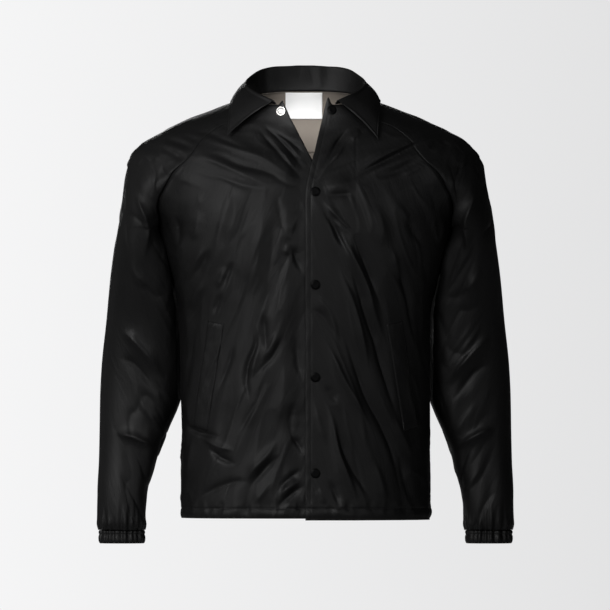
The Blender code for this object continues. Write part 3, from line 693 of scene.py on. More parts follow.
def distances(points, axis):
    """Distance of each point along its row or column, from the first end and from the last."""
    steps = np.linalg.norm(np.diff(points, axis=axis), axis=-1)
    first = np.cumsum(steps, axis=axis)
    first = np.insert(first, 0, 0, axis=axis)
    total = first.take([-1], axis=axis)
    return first, total - first


def groove(distance, depth=SEAM_DEPTH, width=SEAM_WIDTH):
    return -depth * np.exp(-((distance / width) ** 2))


def puckers(points, distance, height, reach, seed):
    """Short waves along a seam that die out away from it."""
    return height * soft_noise(points, PUCKER_SIZE, seed) * np.exp(-((distance / reach) ** 2))


def seam_relief(points, from_seam):
    """A seam's groove with its puckers, which stop at the neck."""
    waves = puckers(points, from_seam, SEAM_PUCKER, SEAM_PUCKER_REACH, 21)
    return groove(from_seam) + waves * below_neck(points[..., 2])


def grid_normals(points):
    """Unit normals of a grid, across its rows and columns."""
    down, across = np.gradient(points, axis=0), np.gradient(points, axis=1)
    normal = np.cross(across, down)
    return normal / np.maximum(np.linalg.norm(normal, axis=-1, keepdims=True), 1e-9)


# %% [markdown]
# ## Finishes
# The shell is black nylon taffeta: a fine plain weave, a little shiny, almost without colour. Its threads are far
# thinner than a fold, so they belong in the material. Two node groups are shared by the shell, the lining and the
# label: one makes the weave, and the other the faint crinkle and the uneven gloss.

# %% Node helpers
def new_group(name, inputs, outputs):
    """An empty node group with float or vector inputs and float outputs."""
    group = bpy.data.node_groups.new(name, "ShaderNodeTree")
    for title, kind, value in inputs:
        socket = group.interface.new_socket(title, in_out="INPUT", socket_type=kind)
        if value is not None:
            socket.default_value = value
    for title, kind in outputs:
        group.interface.new_socket(title, in_out="OUTPUT", socket_type=kind)
    return group, group.nodes.new("NodeGroupInput"), group.nodes.new("NodeGroupOutput")


def math_node(tree, operation, first, second=None):
    """A math node's output; each value is a number or another node's output."""
    node = tree.nodes.new("ShaderNodeMath")
    node.operation = operation
    for number, value in enumerate((first, second)):
        if isinstance(value, bpy.types.NodeSocket):
            tree.links.new(value, node.inputs[number])
        elif value is not None:
            node.inputs[number].default_value = value
    return node.outputs[0]


# %% [markdown]
# ### The weave
# In a plain weave each thread goes over one and under the next. Two sine waves multiplied give such a pattern of
# bumps. They read the piece's own map in metres, so that the threads follow the cloth and have one size everywhere.
# A second output is painted shade: 0 in the gaps between the threads and 1 on their crowns.


# %% Weave group
def make_weave_group():
    group, given, result = new_group(
        "plain_weave",
        (("Map", "NodeSocketVector", None), ("Threads per metre", "NodeSocketFloat", 2200.0)),
        (("Height", "NodeSocketFloat"), ("Thread shade", "NodeSocketFloat")),
    )
    parts = group.nodes.new("ShaderNodeSeparateXYZ")
    group.links.new(given.outputs["Map"], parts.inputs[0])
    waves = []
    for axis in (0, 1):
        turns = math_node(group, "MULTIPLY", parts.outputs[axis], given.outputs["Threads per metre"])
        angle = math_node(group, "MULTIPLY", turns, math.pi)
        waves.append(math_node(group, "SINE", angle))
    over = math_node(group, "MULTIPLY", waves[0], waves[1])
    roundness = math_node(group, "MULTIPLY", over, 0.5)
    height = math_node(group, "ADD", roundness, 0.5)
    group.links.new(height, result.inputs["Height"])
    # Painted shade between the threads: 0 in the gaps between them and 1 on their crowns, to darken the colour in
    # the gaps.
    edge = math_node(group, "ABSOLUTE", over)
    group.links.new(edge, result.inputs["Thread shade"])
    return group


weave_group = make_weave_group()


# %% [markdown]
# ### The crinkle
# Handled nylon has faint creases that are too fine for the mesh. They are noise in the place on the object, turned
# and pressed together along the same lean as the streaks of the relief. A ping-pong of X turns the lean over in the
# middle and again where the sleeves begin.


# %% Crinkle group
SLEEVE_EDGE = 0.225
CRINKLE_SCALE = 60.0
BROAD_SHARE = 0.22


def make_crinkle_group():
    group, given, result = new_group(
        "crinkle",
        (("Place", "NodeSocketVector", None), ("Scale", "NodeSocketFloat", CRINKLE_SCALE)),
        (("Height", "NodeSocketFloat"), ("Gloss", "NodeSocketFloat")),
    )
    fine = group.nodes.new("ShaderNodeTexNoise")
    fine.inputs["Detail"].default_value = 5.0
    fine.inputs["Roughness"].default_value = 0.55
    fine.inputs["Distortion"].default_value = 0.6
    broad = group.nodes.new("ShaderNodeTexNoise")
    broad.inputs["Detail"].default_value = 2.0
    broad_scale = math_node(group, "MULTIPLY", given.outputs["Scale"], BROAD_SHARE)
    parts = group.nodes.new("ShaderNodeSeparateXYZ")
    group.links.new(given.outputs["Place"], parts.inputs["Vector"])
    mirrored = math_node(group, "PINGPONG", parts.outputs["X"], SLEEVE_EDGE)
    across = math_node(
        group, "ADD",
        math_node(group, "MULTIPLY", mirrored, math.cos(STREAK_LEAN)),
        math_node(group, "MULTIPLY", parts.outputs["Z"], math.sin(STREAK_LEAN)),
    )
    along = math_node(
        group, "SUBTRACT",
        math_node(group, "MULTIPLY", mirrored, math.sin(STREAK_LEAN) / STREAK_LENGTH),
        math_node(group, "MULTIPLY", parts.outputs["Z"], math.cos(STREAK_LEAN) / STREAK_LENGTH),
    )
    leaning = group.nodes.new("ShaderNodeCombineXYZ")
    group.links.new(across, leaning.inputs["X"])
    group.links.new(parts.outputs["Y"], leaning.inputs["Y"])
    group.links.new(along, leaning.inputs["Z"])
    for node, scale in ((fine, given.outputs["Scale"]), (broad, broad_scale)):
        group.links.new(leaning.outputs["Vector"], node.inputs["Vector"])
        group.links.new(scale, node.inputs["Scale"])
    centred = math_node(group, "SUBTRACT", fine.outputs["Fac"], 0.5)
    crease = math_node(group, "ABSOLUTE", centred)
    height = math_node(group, "SUBTRACT", 1.0, crease)
    group.links.new(height, result.inputs["Height"])
    group.links.new(broad.outputs["Fac"], result.inputs["Gloss"])
    return group


crinkle_group = make_crinkle_group()


# %% [markdown]
# ### The three cloths
# The shell is very dark and satin, the lining light and dull, and the label white. Each mixes two close colours by
# its gloss and by painted shade between its threads, darker in the gaps and lighter on the crowns, so that it never
# looks like one flat paint. The shader stays in the material itself.


# %% Cloth material
SHEEN_ROUGHNESS = 0.4
GLOSS_IN_COLOUR = 0.7
THREAD_SHADE_IN_COLOUR = 0.3
NOISE_RANGE = (0.3, 0.7)


def cloth_material(name, dark, light, roughness, threads, weave_depth, crinkle_depth, sheen, specular=0.5):
    """A woven cloth: two close colours, a range of roughness, a weave and a crinkle."""
    material = bpy.data.materials.new(name)
    material.use_nodes = True
    tree = material.node_tree
    shader = tree.nodes["Principled BSDF"]
    shader.inputs["Sheen Weight"].default_value = sheen
    shader.inputs["Specular IOR Level"].default_value = specular
    shader.inputs["Sheen Roughness"].default_value = SHEEN_ROUGHNESS
    own_map = tree.nodes.new("ShaderNodeUVMap")
    own_map.uv_map = "cloth"
    place = tree.nodes.new("ShaderNodeTexCoord")
    weave = tree.nodes.new("ShaderNodeGroup")
    weave.node_tree = weave_group
    weave.inputs["Threads per metre"].default_value = threads
    tree.links.new(own_map.outputs["UV"], weave.inputs["Map"])
    crinkle = tree.nodes.new("ShaderNodeGroup")
    crinkle.node_tree = crinkle_group
    crinkle.inputs["Scale"].default_value = CRINKLE_SCALE
    tree.links.new(place.outputs["Object"], crinkle.inputs["Place"])

    colour = tree.nodes.new("ShaderNodeMix")
    colour.data_type = "RGBA"
    colour.inputs["A"].default_value = (*dark, 1)
    colour.inputs["B"].default_value = (*light, 1)
    uneven = math_node(tree, "MULTIPLY", crinkle.outputs["Gloss"], GLOSS_IN_COLOUR)
    # Painted shade: the colour is darker in the gaps between the threads and lighter on their crowns.
    thread_shade = math_node(tree, "MULTIPLY", weave.outputs["Thread shade"], THREAD_SHADE_IN_COLOUR)
    tree.links.new(math_node(tree, "ADD", uneven, thread_shade), colour.inputs["Factor"])
    tree.links.new(colour.outputs["Result"], shader.inputs["Base Color"])

    gloss = tree.nodes.new("ShaderNodeMapRange")
    gloss.inputs["From Min"].default_value = NOISE_RANGE[0]
    gloss.inputs["From Max"].default_value = NOISE_RANGE[1]
    gloss.inputs["To Min"].default_value = roughness[0]
    gloss.inputs["To Max"].default_value = roughness[1]
    tree.links.new(crinkle.outputs["Gloss"], gloss.inputs["Value"])
    tree.links.new(gloss.outputs["Result"], shader.inputs["Roughness"])

    soft = tree.nodes.new("ShaderNodeBump")
    soft.inputs["Distance"].default_value = crinkle_depth
    tree.links.new(crinkle.outputs["Height"], soft.inputs["Height"])
    threads_bump = tree.nodes.new("ShaderNodeBump")
    threads_bump.inputs["Distance"].default_value = weave_depth
    tree.links.new(weave.outputs["Height"], threads_bump.inputs["Height"])
    tree.links.new(soft.outputs["Normal"], threads_bump.inputs["Normal"])
    tree.links.new(threads_bump.outputs["Normal"], shader.inputs["Normal"])
    return material


NYLON = cloth_material(
    "black_nylon", dark=(0.0020, 0.0020, 0.0021), light=(0.0034, 0.0033, 0.0034), roughness=(0.46, 0.56),
    threads=2200.0, weave_depth=0.00004, crinkle_depth=0.0012, sheen=0.0, specular=0.2,
)
LINING = cloth_material(
    "grey_lining", dark=(0.165, 0.142, 0.12), light=(0.19, 0.165, 0.14), roughness=(0.6, 0.75),
    threads=1800.0, weave_depth=0.00005, crinkle_depth=0.0006, sheen=0.1,
)
LABEL = cloth_material(
    "white_label", dark=(0.88, 0.88, 0.875), light=(0.95, 0.95, 0.945), roughness=(0.45, 0.6),
    threads=2600.0, weave_depth=0.00004, crinkle_depth=0.0003, sheen=0.1,
)


# %% [markdown]
# ### Thread, cap and metal
# Thread, snap caps and the metal snap half are small and plain. A fine grain in colour, gloss and height is enough
# for the thread's yarn and the caps' black moulded plastic. The metal is nickel plate, and its grain is stretched
# into faint brushing.


# %% Thread, cap and metal materials
TINT_RANGE = (0.8, 1.2)


def plain_material(
    name, colour, roughness, metallic, pattern_scale, pattern_depth, specular=0.5, stretch=(1, 1, 1)
):
    """A small part's finish: one colour with a fine grain in its colour, roughness and height."""
    material = bpy.data.materials.new(name)
    material.use_nodes = True
    tree = material.node_tree
    shader = tree.nodes["Principled BSDF"]
    shader.inputs["Metallic"].default_value = metallic
    shader.inputs["Specular IOR Level"].default_value = specular
    place = tree.nodes.new("ShaderNodeTexCoord")
    turned = tree.nodes.new("ShaderNodeMapping")
    turned.inputs["Scale"].default_value = stretch
    tree.links.new(place.outputs["Object"], turned.inputs["Vector"])
    grain = tree.nodes.new("ShaderNodeTexNoise")
    grain.inputs["Scale"].default_value = pattern_scale
    grain.inputs["Detail"].default_value = 3.0
    tree.links.new(turned.outputs["Vector"], grain.inputs["Vector"])
    tint = tree.nodes.new("ShaderNodeMix")
    tint.data_type = "RGBA"
    tint.inputs["A"].default_value = (*[value * TINT_RANGE[0] for value in colour], 1)
    tint.inputs["B"].default_value = (*[min(value * TINT_RANGE[1], 1) for value in colour], 1)
    tree.links.new(grain.outputs["Fac"], tint.inputs["Factor"])
    tree.links.new(tint.outputs["Result"], shader.inputs["Base Color"])
    worn = tree.nodes.new("ShaderNodeMapRange")
    worn.inputs["To Min"].default_value = roughness * TINT_RANGE[0]
    worn.inputs["To Max"].default_value = roughness * TINT_RANGE[1]
    tree.links.new(grain.outputs["Fac"], worn.inputs["Value"])
    tree.links.new(worn.outputs["Result"], shader.inputs["Roughness"])
    bump = tree.nodes.new("ShaderNodeBump")
    bump.inputs["Distance"].default_value = pattern_depth
    tree.links.new(grain.outputs["Fac"], bump.inputs["Height"])
    tree.links.new(bump.outputs["Normal"], shader.inputs["Normal"])
    return material


THREAD = plain_material("black_thread", (0.006, 0.006, 0.0063), 0.45, 0.0, 2600.0, 0.00008, 0.22)
CAP = plain_material("black_cap", (0.0012, 0.0012, 0.0013), 0.4, 0.0, 900.0, 0.00003, 0.07)
METAL = plain_material("nickel", (0.62, 0.61, 0.59), 0.26, 1.0, 500.0, 0.00002, 0.5, (1, 1, 6))
print("materials:", [material.name for material in (NYLON, LINING, LABEL, THREAD, CAP, METAL)])

# %% [markdown]
# ## A cloth wall
# Every panel is made the same way. A flat grid comes from bmesh with its map, each of its points goes to the place
# that the panel's function gives, the map is stretched to the cloth's real size, and a Solidify modifier adds the
# wall on the inside. Its inner faces take a second material where the jacket is lined.

# %% A cloth wall
WALL = 1.3


def add_cloth(name, points, turned_over, wall=WALL, lined=False, finish=None, nodes=()):
    """A cloth piece from a grid of points in mm. It rides on the body and replaces CAD nodes."""
    rows, columns = points.shape[:2]
    bm = bmesh.new()
    bm.loops.layers.uv.new("cloth")
    bmesh.ops.create_grid(bm, x_segments=columns - 1, y_segments=rows - 1, size=1, calc_uvs=True)
    for vertex in bm.verts:
        column = round((vertex.co.x + 1) / 2 * (columns - 1))
        row = round((vertex.co.y + 1) / 2 * (rows - 1))
        vertex.co = points[row, column] * MM
    bmesh.ops.remove_doubles(bm, verts=bm.verts, dist=1e-6)
    if turned_over:
        bmesh.ops.reverse_faces(bm, faces=bm.faces)
    mesh = bpy.data.meshes.new(name)
    bm.to_mesh(mesh)
    bm.free()

    across = distances(points, 1)[0].mean(axis=0) * MM
    along = distances(points, 0)[0].mean(axis=1) * MM
    layer = mesh.uv_layers["cloth"]
    flat = np.zeros(len(layer.data) * 2, np.float32)
    layer.data.foreach_get("uv", flat)
    flat = flat.reshape(-1, 2)
    flat[:, 0] = across[np.rint(flat[:, 0] * (columns - 1)).astype(int)]
    flat[:, 1] = along[np.rint(flat[:, 1] * (rows - 1)).astype(int)]
    layer.data.foreach_set("uv", flat.ravel())

    mesh.shade_smooth()
    mesh.materials.append(finish or NYLON)
    if lined:
        mesh.materials.append(LINING)
    piece = bpy.data.objects.new(name, mesh)
    bpy.context.scene.collection.objects.link(piece)
    solidify = piece.modifiers.new("wall", "SOLIDIFY")
    solidify.thickness = wall * MM
    solidify.offset = -1
    solidify.material_offset = 1 if lined else 0
    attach(piece, "root")
    if nodes:
        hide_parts(*nodes)
    print(name, len(mesh.polygons), "faces,", round(across[-1], 3), "x", round(along[-1], 3), "m")
    return piece


# %% [markdown]
# ## The two fronts
# Each front runs from the centre edge round to the side seam, and above the armpit to the raglan seam. The left
# front laps over the right one and carries the snaps, so its edge is stitched down 9 mm in, and the right front
# drops a few millimetres behind it. Rows and columns lie closer together beside the stitches and seams, where
# grooves are finer than the rest of the mesh.

# %% The two fronts
LOWER_ROWS = 185
UPPER_ROWS = 82
FRONT_COLUMNS = 126
EDGE_STEPS = (0, 0.5, 1.4, 3.2, 6.0, 8.0, 9.0, 10.0, 12.0)
SEAM_STEPS = (0, 0.6, 1.6, 3.4)
HEM_STEPS = (0, 0.5, 1.4, 3.0, 6.0, 9.0, 12.0)
STITCH_STEPS = (-2.6, -1.0, 0, 1.0, 2.6, 5.0)
LAP_STITCH_COLUMN = 6
LAP_DEPTH = 5.0
CORNER_START_X = 46.0
LEFT_CORNER_RISE = 13.0
RIGHT_CORNER_RISE = 8.0
HEM_BULGE = 1.3
HEM_CASING = 17.0
HEM_TUCK = 0.8
HEM_TUCK_Z = -701.0
HEM_PUCKER = 2.3
HEM_PUCKER_REACH = 11.0
FACING_X = 86.0
FACING_BLEND = 4.0
FACING_STEP = 0.35
EDGE_ROLL = 0.6
EDGE_ROLL_WIDTH = 0.9
UPPER_START_POWER = 1.35
UPPER_END_POWER = 1.5


def row_heights(hem_z):
    """Heights of the body's rows: close by the hem's stitches, even to the armpit, closer at the neck."""
    hem = [hem_z + step for step in HEM_STEPS if hem_z + step < HEM_STITCH_Z - 3]
    stitched = [HEM_STITCH_Z + step for step in STITCH_STEPS]
    even = np.linspace(stitched[-1], ARMPIT_Z, LOWER_ROWS + 1)[1:]
    share = np.linspace(0, 1, UPPER_ROWS + 1)[1:]
    upper = ARMPIT_Z + (NECK_Z - ARMPIT_Z) * (1 - (1 - share**UPPER_START_POWER) ** UPPER_END_POWER)
    return np.concatenate([hem, stitched, even, upper])


def hem_relief(points, seed):
    """The hem's casing: a soft roll between the edge and its stitches, with puckers."""
    z = points[..., 2]
    line = z - HEM_STITCH_Z
    roll = HEM_BULGE * np.sin(np.pi * np.clip((HEM_STITCH_Z - z) / HEM_CASING, 0, 1))
    roll = roll - HEM_TUCK * ease((HEM_TUCK_Z - z) / 6)
    short = soft_noise(points * np.array([1, 1, 0.45]), PUCKER_SIZE, seed)
    pucker = HEM_PUCKER * short * np.exp(-((line / HEM_PUCKER_REACH) ** 2))
    return roll + pucker + groove(line, 0.7, 1.3)


def set_back(points, row_ends=(), column_ends=(), distance=SEAM_SETBACK):
    """Pulls border rows (0 or -1) and border columns towards their neighbours."""
    points = points.copy()
    for lines, ends in ((points, row_ends), (points.swapaxes(0, 1), column_ends)):
        for end in ends:
            along = lines[1 if end == 0 else -2] - lines[end]
            length = np.linalg.norm(along, axis=-1, keepdims=True)
            lines[end] += along / np.maximum(length, 1e-6) * np.minimum(distance, length * 0.4)
    return points


def front_form(side):
    """Flat form of one front, hem to neck by centre edge to seam."""
    rows = []
    for z in row_heights(UPPER_LAP_HEM_Z if side > 0 else HEM_Z):
        width = half_width(z)
        edge_x = float(smooth(z, FRONT_EDGES, 1 if side > 0 else 2))
        seam = math.pi / 2
        if z > ARMPIT_Z:
            seam = angle_at(float(smooth(z, RAGLAN_SEAMS, 1)), width)
        missing = arc_length(z, seam, math.pi / 2)
        margin = LEAST_MARGIN + (SEAM_MARGIN - LEAST_MARGIN) * ease(1 - missing / SEAM_MARGIN)
        start = angle_at(edge_x, width)
        rows.append(ring_row(z, start, side * seam, FRONT_COLUMNS, EDGE_STEPS, SEAM_STEPS, margin))
    return np.array(rows)


def front_points(side):
    """One front with its relief; side is 1 for the wearer's left."""
    points = front_form(side)
    x, z = points[..., 0].copy(), points[..., 2].copy()
    out = section_out(points)
    from_edge, from_seam = distances(points, 1)
    relief = cloth_relief(points, out)
    relief += seam_relief(points, from_seam)
    relief += hem_relief(points, 22)
    if side > 0:
        relief += groove(from_edge - EDGE_STEPS[LAP_STITCH_COLUMN], 0.45, 1.1)
        relief += puckers(points, from_edge - 5, 0.5, 7, 23)
        facing = ease((x - FACING_X + FACING_BLEND) / FACING_BLEND)
        facing = facing * ease((FACING_X + FACING_BLEND - x) / FACING_BLEND)
        relief -= FACING_STEP * facing * ease((z + 256) / 30) * ease((-40 - z) / 20)
    relief -= EDGE_ROLL * np.exp(-((from_edge / EDGE_ROLL_WIDTH) ** 2))
    points = raise_neckline(points) + out * relief[..., None]
    rise = LEFT_CORNER_RISE if side > 0 else RIGHT_CORNER_RISE
    corner = ease((CORNER_START_X - side * x) / 8) * ease((z + 26) / 33)
    points[..., 2] += rise * corner
    if side < 0:
        points[..., 1] += LAP_DEPTH * ease((x + 34) / 26) * ease((-50 - z) / 40)
    return set_back(points, row_ends=(-1,), column_ends=(-1,))


left_front, right_front = front_points(1), front_points(-1)
add_cloth("cloth_front_left", left_front, False, lined=True, nodes=["front_left"])
add_cloth("cloth_front_right", right_front, True, lined=True, nodes=["front_right"])

# %% [markdown]
# ## The back
# One panel from side to side. Nobody sees it in the picture, so its folds are of the same kind as the front's:
# troughs from the armpits, a drag line across the shoulder blades and long soft folds down to the hem.

# %% The back
BACK_COLUMNS = 170


def back_points():
    """Grid of the back, hem to neck by right side to left side."""
    rows = []
    for z in row_heights(HEM_Z):
        width = half_width(z)
        seam = math.pi / 2
        if z > ARMPIT_Z:
            seam = math.pi - angle_at(float(smooth(z, RAGLAN_SEAMS, 2)), width)
        rows.append(ring_row(z, -seam, seam - 2 * math.pi, BACK_COLUMNS, SEAM_STEPS, SEAM_STEPS))
    points = np.array(rows)
    out = section_out(points)
    first, last = distances(points, 1)
    from_seam = np.minimum(first, last)
    relief = cloth_relief(points, out) + hem_relief(points, 22)
    relief += seam_relief(points, from_seam)
    points = raise_neckline(points) + out * relief[..., None]
    return set_back(points, row_ends=(-1,), column_ends=(0, -1))


back = back_points()
add_cloth("cloth_back", back, True, lined=True, nodes=["back"])

# %% [markdown]
# ## The sleeves
# A raglan sleeve is a tube up to the armpit, and above it opens into a tongue that runs over the shoulder to the
# neck. The section changes from the tube to the shoulder's curve on the way. At the wrist the cloth is drawn in by
# the elastic, in gathers of uneven size that fan out and die away further up the sleeve.

# %% The sleeves
SLEEVE_COLUMNS = 140
SLEEVE_ROWS = 180
SIDE_GAP = 5.0
UNDERARM_HEIGHT = 36.0
SEAM_HUG = 3.5
SLEEVE_ROUNDNESS = 0.7
CUFF_MIDDLE = (313.0, 37.0)
CUFF_HALF_SIZES = (38.0, 33.0)
GATHER_WAVES = (13, 16, 18, 21, 25)
GATHER_DEPTH = 1.5
GATHER_GAIN = 2.4
GATHER_LIMIT = 1.3
GATHER_REACH = 46.0
CUFF_SWELL = 1.6
OWN_NORMAL_WIDTH = 45.0


def gather_wave(angle, side):
    """Uneven gathers round the wrist: a few waves of near counts with set phases."""
    phases = np.random.default_rng(31 if side > 0 else 32).uniform(0, 2 * math.pi, len(GATHER_WAVES))
    total = sum(np.cos(count * angle + phase) for count, phase in zip(GATHER_WAVES, phases))
    return np.clip(total / 1.7, -GATHER_LIMIT, GATHER_LIMIT)


def gather(points, side):
    """Draws the cloth in and out in the gathers, strongest at the cuff seam."""
    away = points[..., :2] - np.array([side * CUFF_MIDDLE[0], CUFF_MIDDLE[1]])
    angle = np.arctan2(away[..., 0] * side, -away[..., 1])
    longer = 1 + 0.55 * np.cos(3 * angle + side) * np.cos(7 * angle)
    near = np.clip((CUFF_TOP_Z + GATHER_REACH * longer - points[..., 2]) / (GATHER_REACH * longer), 0, 1)
    near = near**1.6
    radius = np.linalg.norm(away, axis=-1, keepdims=True)
    swell = CUFF_SWELL * np.exp(-(((points[..., 2] - CUFF_TOP_Z - 9) / 8) ** 2))
    wave = GATHER_GAIN * GATHER_DEPTH * near * (1 - 0.45 * near) * gather_wave(angle, side) + swell
    points = points.copy()
    points[..., :2] += away / np.maximum(radius, 1) * wave[..., None]
    return points


def sleeve_half(z, turn, start, radius_column, facing):
    """Half of a sleeve's section, from its seam (turn 0) to its outer side (turn 1); facing is -1 in front."""
    outer, inner = float(smooth(z, SLEEVE, 1)), float(smooth(z, SLEEVE, 2))
    centre_y = float(smooth(z, SLEEVE, 3))
    radius = float(smooth(z, SLEEVE, radius_column))
    if z > SHOULDER_CORNER_Z:
        outer = float(half_width(z))
    seam_angle = angle_at(start[0], outer)
    swing = seam_angle + (math.pi / 2 - seam_angle) * turn
    shoulder = ring(z, swing if facing < 0 else math.pi - swing, outer)
    tube = np.stack(
        [
            inner + (outer - inner) * (1 - np.cos(math.pi * turn)) / 2,
            centre_y + facing * radius * np.sin(math.pi * turn) ** SLEEVE_ROUNDNESS,
            np.full_like(turn, z),
        ],
        axis=-1,
    )
    closed = ease((SHOULDER_CORNER_Z - z) / (SHOULDER_CORNER_Z - ARMPIT_Z))
    half = shoulder + (tube - shoulder) * closed
    held = ease(1 - (ARMPIT_Z - z) / UNDERARM_HEIGHT)
    power = 2 + SEAM_HUG * ease((-120 - z) / 60)
    return half + (np.array(start) - half[0]) * held * ((1 - turn) ** power)[:, None]


def clear_of_body(points, z):
    """Keeps a sleeve's inner side just outside the body's side."""
    depth = np.where(points[:, 1] < 0, smooth(z, BODY, 2), smooth(z, BODY, 3))
    inside = np.clip(1 - (np.abs(points[:, 1]) / depth) ** ROUNDNESS, 0, 1)
    side_x = half_width(z) * inside ** (1 / ROUNDNESS)
    gap = 0.5 + SIDE_GAP * ease((ARMPIT_Z - z - 40) / 60)
    points[:, 0] = np.maximum(points[:, 0], side_x + gap)
    return points


def sleeve_form(side):
    """Flat form of a sleeve, cuff to neck by once round from the underarm or the front seam."""
    share = np.linspace(0, 1, SLEEVE_ROWS + 1)[:-1]
    tube = CUFF_TOP_Z + (ARMPIT_Z - CUFF_TOP_Z) * (share * 0.75 + share**1.6 * 0.25)
    cap = [z for z in row_heights(HEM_Z) if z >= ARMPIT_Z - 0.001]
    turn = np.linspace(0, 1, SLEEVE_COLUMNS // 2 + 1)
    rows = []
    for z in np.concatenate([tube, cap]):
        width = float(half_width(z))
        if z >= ARMPIT_Z:
            front_x = float(smooth(z, RAGLAN_SEAMS, 1))
            back_x = float(smooth(z, RAGLAN_SEAMS, 2))
            front_seam = ring(z, np.array([angle_at(front_x, width)]))[0]
            back_seam = ring(z, math.pi - np.array([angle_at(back_x, width)]))[0]
        else:
            front_seam = back_seam = (width + 0.5, 0, z)
        first = sleeve_half(z, turn, front_seam, 4, -1)
        second = sleeve_half(z, turn, back_seam, 5, 1)[::-1]
        row = np.concatenate([first, second[1:]])
        if z <= ARMPIT_Z:
            row = clear_of_body(row, z)
            row[-1] = row[0]
        rows.append(row)
    points = np.array(rows)
    points[..., 0] *= side
    return points


def sleeve_out(points, side, low, from_seam):
    """Directions out of a sleeve: its own normals, and the body's by the raglan seams and the neck."""
    z = points[..., 2]
    normal = grid_normals(points) * -side
    in_tube = z < ARMPIT_Z - 0.01
    wrapped = normal[:, 1] + normal[:, -2]
    wrapped /= np.linalg.norm(wrapped, axis=-1, keepdims=True)
    for end in (0, -1):
        normal[:, end] = np.where(in_tube[:, :1], wrapped, normal[:, end])
    own = (low + (1 - low) * ease(from_seam / OWN_NORMAL_WIDTH) * ease((-z - 60) / 90))[..., None]
    out = section_out(points) * (1 - own) + normal * own
    return out / np.maximum(np.linalg.norm(out, axis=-1, keepdims=True), 1e-9)


def sleeve_points(side):
    """One sleeve with its relief and its gathers; side is 1 for the wearer's left."""
    points = sleeve_form(side)
    z = points[..., 2].copy()
    from_seam = np.minimum(*distances(points, 1))
    low = ease((ARMPIT_Z - z) / 40)
    out = sleeve_out(points, side, low, from_seam)
    relief = cloth_relief(points, out)
    sewn = ease((z - ARMPIT_Z + 6) / 12)
    relief += seam_relief(points, from_seam) * sewn
    facing_body = low * ease(-2 * side * out[..., 0])
    relief = relief * (1 - facing_body)
    points = gather(raise_neckline(points) + out * relief[..., None], side)
    tube_rows = SLEEVE_ROWS + 1
    points[tube_rows:] = set_back(points[tube_rows:], column_ends=(0, -1))
    points[:tube_rows, -1] = points[:tube_rows, 0]
    return set_back(points, row_ends=(0, -1))


left_sleeve, right_sleeve = sleeve_points(1), sleeve_points(-1)
add_cloth("cloth_sleeve_left", left_sleeve, False, lined=True, nodes=["sleeve_left"])
add_cloth("cloth_sleeve_right", right_sleeve, True, lined=True, nodes=["sleeve_right"])

# %% [markdown]
# ## The cuffs
# A cuff is a narrow casing with an elastic inside. Its gathers carry on from the sleeve's, and its edges are drawn
# in where the stitches hold them, so the casing looks puffed between.

# %% The cuffs
CUFF_ROWS = (
    # share of the height from the bottom, how far the ring stands out
    (0, -1.6),
    (0.03, -0.7),
    (0.08, 0.1),
    (0.2, 0.9),
    (0.35, 1.2),
    (0.5, 1.0),
    (0.62, 0.2),
    (0.68, -0.5),
    (0.74, 0.1),
    (0.84, 0.5),
    (0.93, 0.0),
    (1, -0.9),
)
CUFF_COLUMNS = 288
CUFF_SEAM_GAP = 0.3


def cuff_points(side):
    """Grid of a cuff, bottom to top by once round; side is 1 for the wearer's left."""
    angle = np.linspace(0, 2 * math.pi, CUFF_COLUMNS + 1)
    wave = GATHER_DEPTH * gather_wave(angle, side)
    rows = []
    for share, grow in CUFF_ROWS:
        z = CUFF_BOTTOM_Z + (CUFF_TOP_Z - CUFF_SEAM_GAP - CUFF_BOTTOM_Z) * share
        deep = wave * (0.75 + 0.45 * share)
        x = side * (CUFF_MIDDLE[0] + (CUFF_HALF_SIZES[0] + grow + deep) * np.sin(angle))
        y = CUFF_MIDDLE[1] - (CUFF_HALF_SIZES[1] + grow + deep) * np.cos(angle)
        rows.append(np.stack([x, y, np.full_like(x, z)], axis=-1))
    points = np.array(rows)
    points[:, -1] = points[:, 0]
    return points


add_cloth("cloth_cuff_left", cuff_points(1), False, wall=1.8, nodes=["cuff_left"])
add_cloth("cloth_cuff_right", cuff_points(-1), True, wall=1.8, nodes=["cuff_right"])

# %% [markdown]
# ## The collar
# The collar stands up from the neck seam, turns over a soft fold and comes down as a pointed leaf. Its grid runs
# from one front end round the neck to the other, and across from the seam over the fold to the leaf's edge. A
# stitch line runs 5 mm inside the leaf's edges.

# %% The collar
COLLAR_HALF = (
    # fold_x, fold_y, fold_z, edge_x, edge_y, edge_z, from the front end to the centre back
    (55.5, -84, 4.5, 133, -102, -55),
    (78, -67, 15, 131.5, -88, -30),
    (94, -42, 25, 130, -58, -9),
    (101, -10, 33, 128.5, -20, 2),
    (100, 22, 40, 124, 20, 6),
    (91, 48, 49, 112, 58, 9),
    (74, 69, 59, 87, 86, 12),
    (42, 82, 65, 46, 101, 14),
    (0, 86, 66, 0, 106, 15),
)
COLLAR_END_X = 50.0
COLLAR_FOLD_RADIUS = 3.2
COLLAR_LEAF_BULGE = 3.5
LEFT_TIP_SHIFT = (-9.0, 0.0, -7.0)
COLLAR_BASE_LIFT = 0.3
COLLAR_END_LIFT = 1.6
COLLAR_COLUMNS = 200
STAND_ROWS = 9
FOLD_ROWS = 11
LEAF_ROWS = 26
LEAF_STITCH = 5.0


